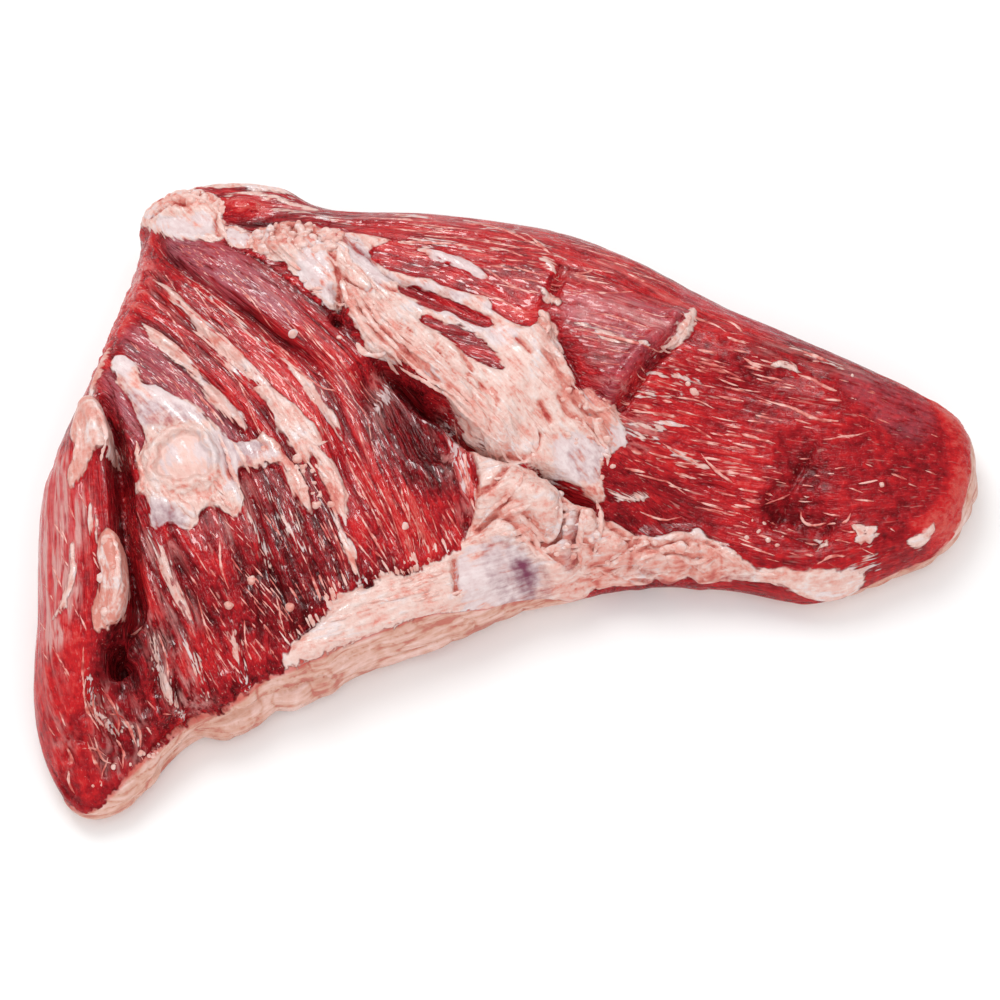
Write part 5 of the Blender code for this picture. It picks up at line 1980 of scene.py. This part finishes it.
# %% Cords of fat
# number, shortest and longest, thinnest and widest in mm, then the patch
RIBBON_REGIONS = table("""
band: 55, 7 20, 1.2 2.6, -91 82, -86 94, -70 92, -58 80, -50 62, -38 48, -26 34, -12 20, 0 4, 0 -3,
  -12 4, -26 19, -38 32, -50 40, -58 58, -66 60, -78 74
field: 24, 5 14, 1 2, -26 40, -8 24, 6 40, 14 36, 26 16, 34 2, 26 -10, 6 -4, -10 10
knot: 30, 4 12, 1.4 3, -12 -8, 14 -12, 30 -20, 60 -27, 76 -34, 56 -38, 20 -40, -8 -30
round the disc: 22, 5 12, 1.2 2.2, -124 10, -106 14, -92 3, -80 1, -84 -6, -92 -18, -104 -26, -120 -26,
  -124 -8
left strips: 26, 6 16, 1.2 2.4, -120 62, -84 28, -66 12, -56 -18, -62 -18, -78 4, -104 28, -124 52
near strip: 14, 5 14, 1 2, -72 -70, -50 -52, -20 -42, -12 -52, -40 -64
""")
# short spurs of fat along an edge, pointing along the grain: number, direction, the edge
COMBS = table("""
near strip: 34, -1, -75 -73, -69 -66, -61 -60, -56 -52, -50 -50, -44 -47, -34 -45, -26 -41, -19 -37
far strip: 10, 1, -51 42, -55 50, -58 57, -66 58, -75 69
end of the middle strips: 8, 1, -70 -4, -66 -6, -60 -16, -57 -24
""")


def spurs(number, sign, edge, draw):
    """Short strands that start at an edge and follow the grain away from it."""
    line = smooth_curve(edge, 0.5)
    for start in draw.choice(line, int(number)):
        yield draw.uniform(0.7, 1.6), trace(start, draw.uniform(2.5, 7), sign * GRAIN_WAY, draw)


draw = np.random.default_rng(77)
off_disc = np.linalg.norm(PLAN_PLACES - DISC[:2], axis=-1) > DISC[2] + 2
thick = (PLAN["pale"] > 0.8) & (PLAN["silver"] < 0.5) & off_disc
cords = scattered(RIBBON_REGIONS, FAT_WAY, thick)
cords += [(width, smooth_curve(path, STRAND_STEP)) for width, *path in FAT_CORDS.values()]
for number, sign, *edge in COMBS.values():
    cords += spurs(number, sign, edge, draw)
fat_cords = strand_curves("fat_cords", cords, lift=-0.05, blunt=0.45)
sizes = {"Sides": 10, "Flatness": 0.55, "Lump_Size": 0.0032, "Lump_Height": 0.0011}
grow(fat_cords, TUBES, Material=STRAND_FAT, **sizes)

# %% [markdown]
# ## Beads and crumbs
#
# Fat breaks into small rounded beads where the knife has torn it, and a few crumbs of it have fallen
# on the red meat. Each bead is one small ball, squashed, turned and pushed about by noise, so that no
# two are alike.

# %% Where the beads lie
# size in mm and place of the larger ones
BEADS = table("""
crumbs: 3.6 -86 -48, 3.4 -93 -57, 3.2 -73 -57, 3 -35 -29, 2 126 -10, 3.6 63 23, 2.2 61 26, 4 -75 45,
  1.8 -59 43, 1.4 -66 30, 1.6 118 30, 1.4 64 49, 2.4 62 50
knobs of the near rim: 3.8 57 -31, 3.4 51 -32, 3 63 -33.5, 2.8 46 -29, 2.8 35 -29, 2.6 27 -30
knot: 3.4 26 -22, 3 29 -28, 3 21 -35, 3.2 11 -34, 2.6 17 -14
top of the band: 3.6 -88 88, 3.4 -84 91, 3.2 -78 87, 3.4 -72 87, 3 -92 86, 2.6 -95 91, 2.8 -66 84,
  3 -60 86, 3.2 -81 83
lump on the rolled edge: 3.4 -134 -38, 3.2 -135 -50, 3 -133 -62
hollow of the lobe: 1.6 84 -25, 2 87 -28, 1.4 82 -21, 1.8 90 -30, 1.3 92 -27, 1.5 80 -27, 1.2 86 -22
foot of the field: 3.4 26 15, 3 30 10, 2.6 24 19, 3 33 4, 2.6 20 20, 2.4 28 5, 2.2 31 -8
""")
# number, sizes, patch
BEAD_REGIONS = table("""
foot of the field: 16, 1.4 2.6, 12 24, 22 24, 36 16, 36 -2, 30 -12, 22 -2, 16 12
near rim: 12, 1.4 2.6, 24 -22, 48 -28, 72 -32, 60 -37, 26 -37
top of the band: 70, 1.8 4.6, -93 82, -91 93, -78 94, -64 90, -56 83, -64 79, -78 79
by the corner: 34, 1.6 3.8, -131 104, -122 111, -108 110, -102 104, -101 90, -104 92, -106 103, -122 105
middle of the knot: 9, 1.4 2.8, 4 -27, 12 -22, 18 -24, 20 -36, 10 -37
strips by the disc: 22, 1.6 3.4, -88 1, -80 0, -68 -6, -58 -24, -64 -24, -76 -8
tip of the fat: 12, 1 2.2, -138 -118, -128 -108, -112 -98, -118 -106
""")
BEAD_SINK = 0.12  # of its size


def bead_spots():
    """Every bead's size and place, in mm, the drawn ones and the scattered ones."""
    found = [bead for group in BEADS.values() for bead in group]
    draw = np.random.default_rng(91)
    for number, (smallest, largest), *loop in BEAD_REGIONS.values():
        spots = PLAN_PLACES[inside_map(smooth_curve(loop, closed=True)[:-1])]
        for x, y in draw.choice(spots, int(number)):
            found.append((smallest + (largest - smallest) * draw.random() ** 2, x, y))
    return found


print("beads:", len(bead_spots()))


# %% Beads and crumbs
def bead_points():
    """A mesh of loose points on the body, each with its bead's size."""
    places, sizes = [], []
    for size, x, y in bead_spots():
        for spot in lay([(x, y)], -BEAD_SINK * size):
            places.append(tuple(spot))
            sizes.append(size * MM)
    mesh = bpy.data.meshes.new("fat_beads")
    mesh.from_pydata(places, [], [])
    store(mesh, "size", np.array(sizes))
    return add_object("fat_beads", mesh)


def make_bead_tree():
    """A squashed, turned and lumpy ball on each point."""
    sizes = {"Lump Size": 0.0022, "Lump Height": 0.0016, "Seed": 3}
    tree, given, out = new_geometry_tree("beads", sizes)
    ball = made(tree, "GeometryNodeMeshIcoSphere", {"Radius": 0.5, "Subdivisions": 3})
    size = add_node(tree, "GeometryNodeInputNamedAttribute", {"Name": "size"}, data_type="FLOAT")
    size = size.outputs["Attribute"]
    stretch = {"Min": (0.8, 0.8, 0.6), "Max": (1.25, 1.25, 0.85), "Seed": given["Seed"]}
    stretch = made(tree, "FunctionNodeRandomValue", stretch, data_type="FLOAT_VECTOR")
    scale = scaled(tree, stretch, size)
    turn = {"Min": (-0.4, -0.4, 0), "Max": (0.4, 0.4, 6.3), "Seed": given["Seed"]}
    turn = made(tree, "FunctionNodeRandomValue", turn, data_type="FLOAT_VECTOR")
    turn = made(tree, "FunctionNodeEulerToRotation", {0: turn})
    balls = {"Points": given["Geometry"], "Instance": ball, "Rotation": turn, "Scale": scale}
    balls = made(tree, "GeometryNodeInstanceOnPoints", balls)
    balls = made(tree, "GeometryNodeRealizeInstances", {"Geometry": balls})
    balls = add_lumps(tree, balls, given["Lump Size"], given["Lump Height"], 2.0)
    place = made(tree, "GeometryNodeInputPosition")
    finish_tree(tree, balls, scaled(tree, place, 1000), given["Material"], out)
    return tree


grow(bead_points(), make_bead_tree(), Material=STRAND_FAT)
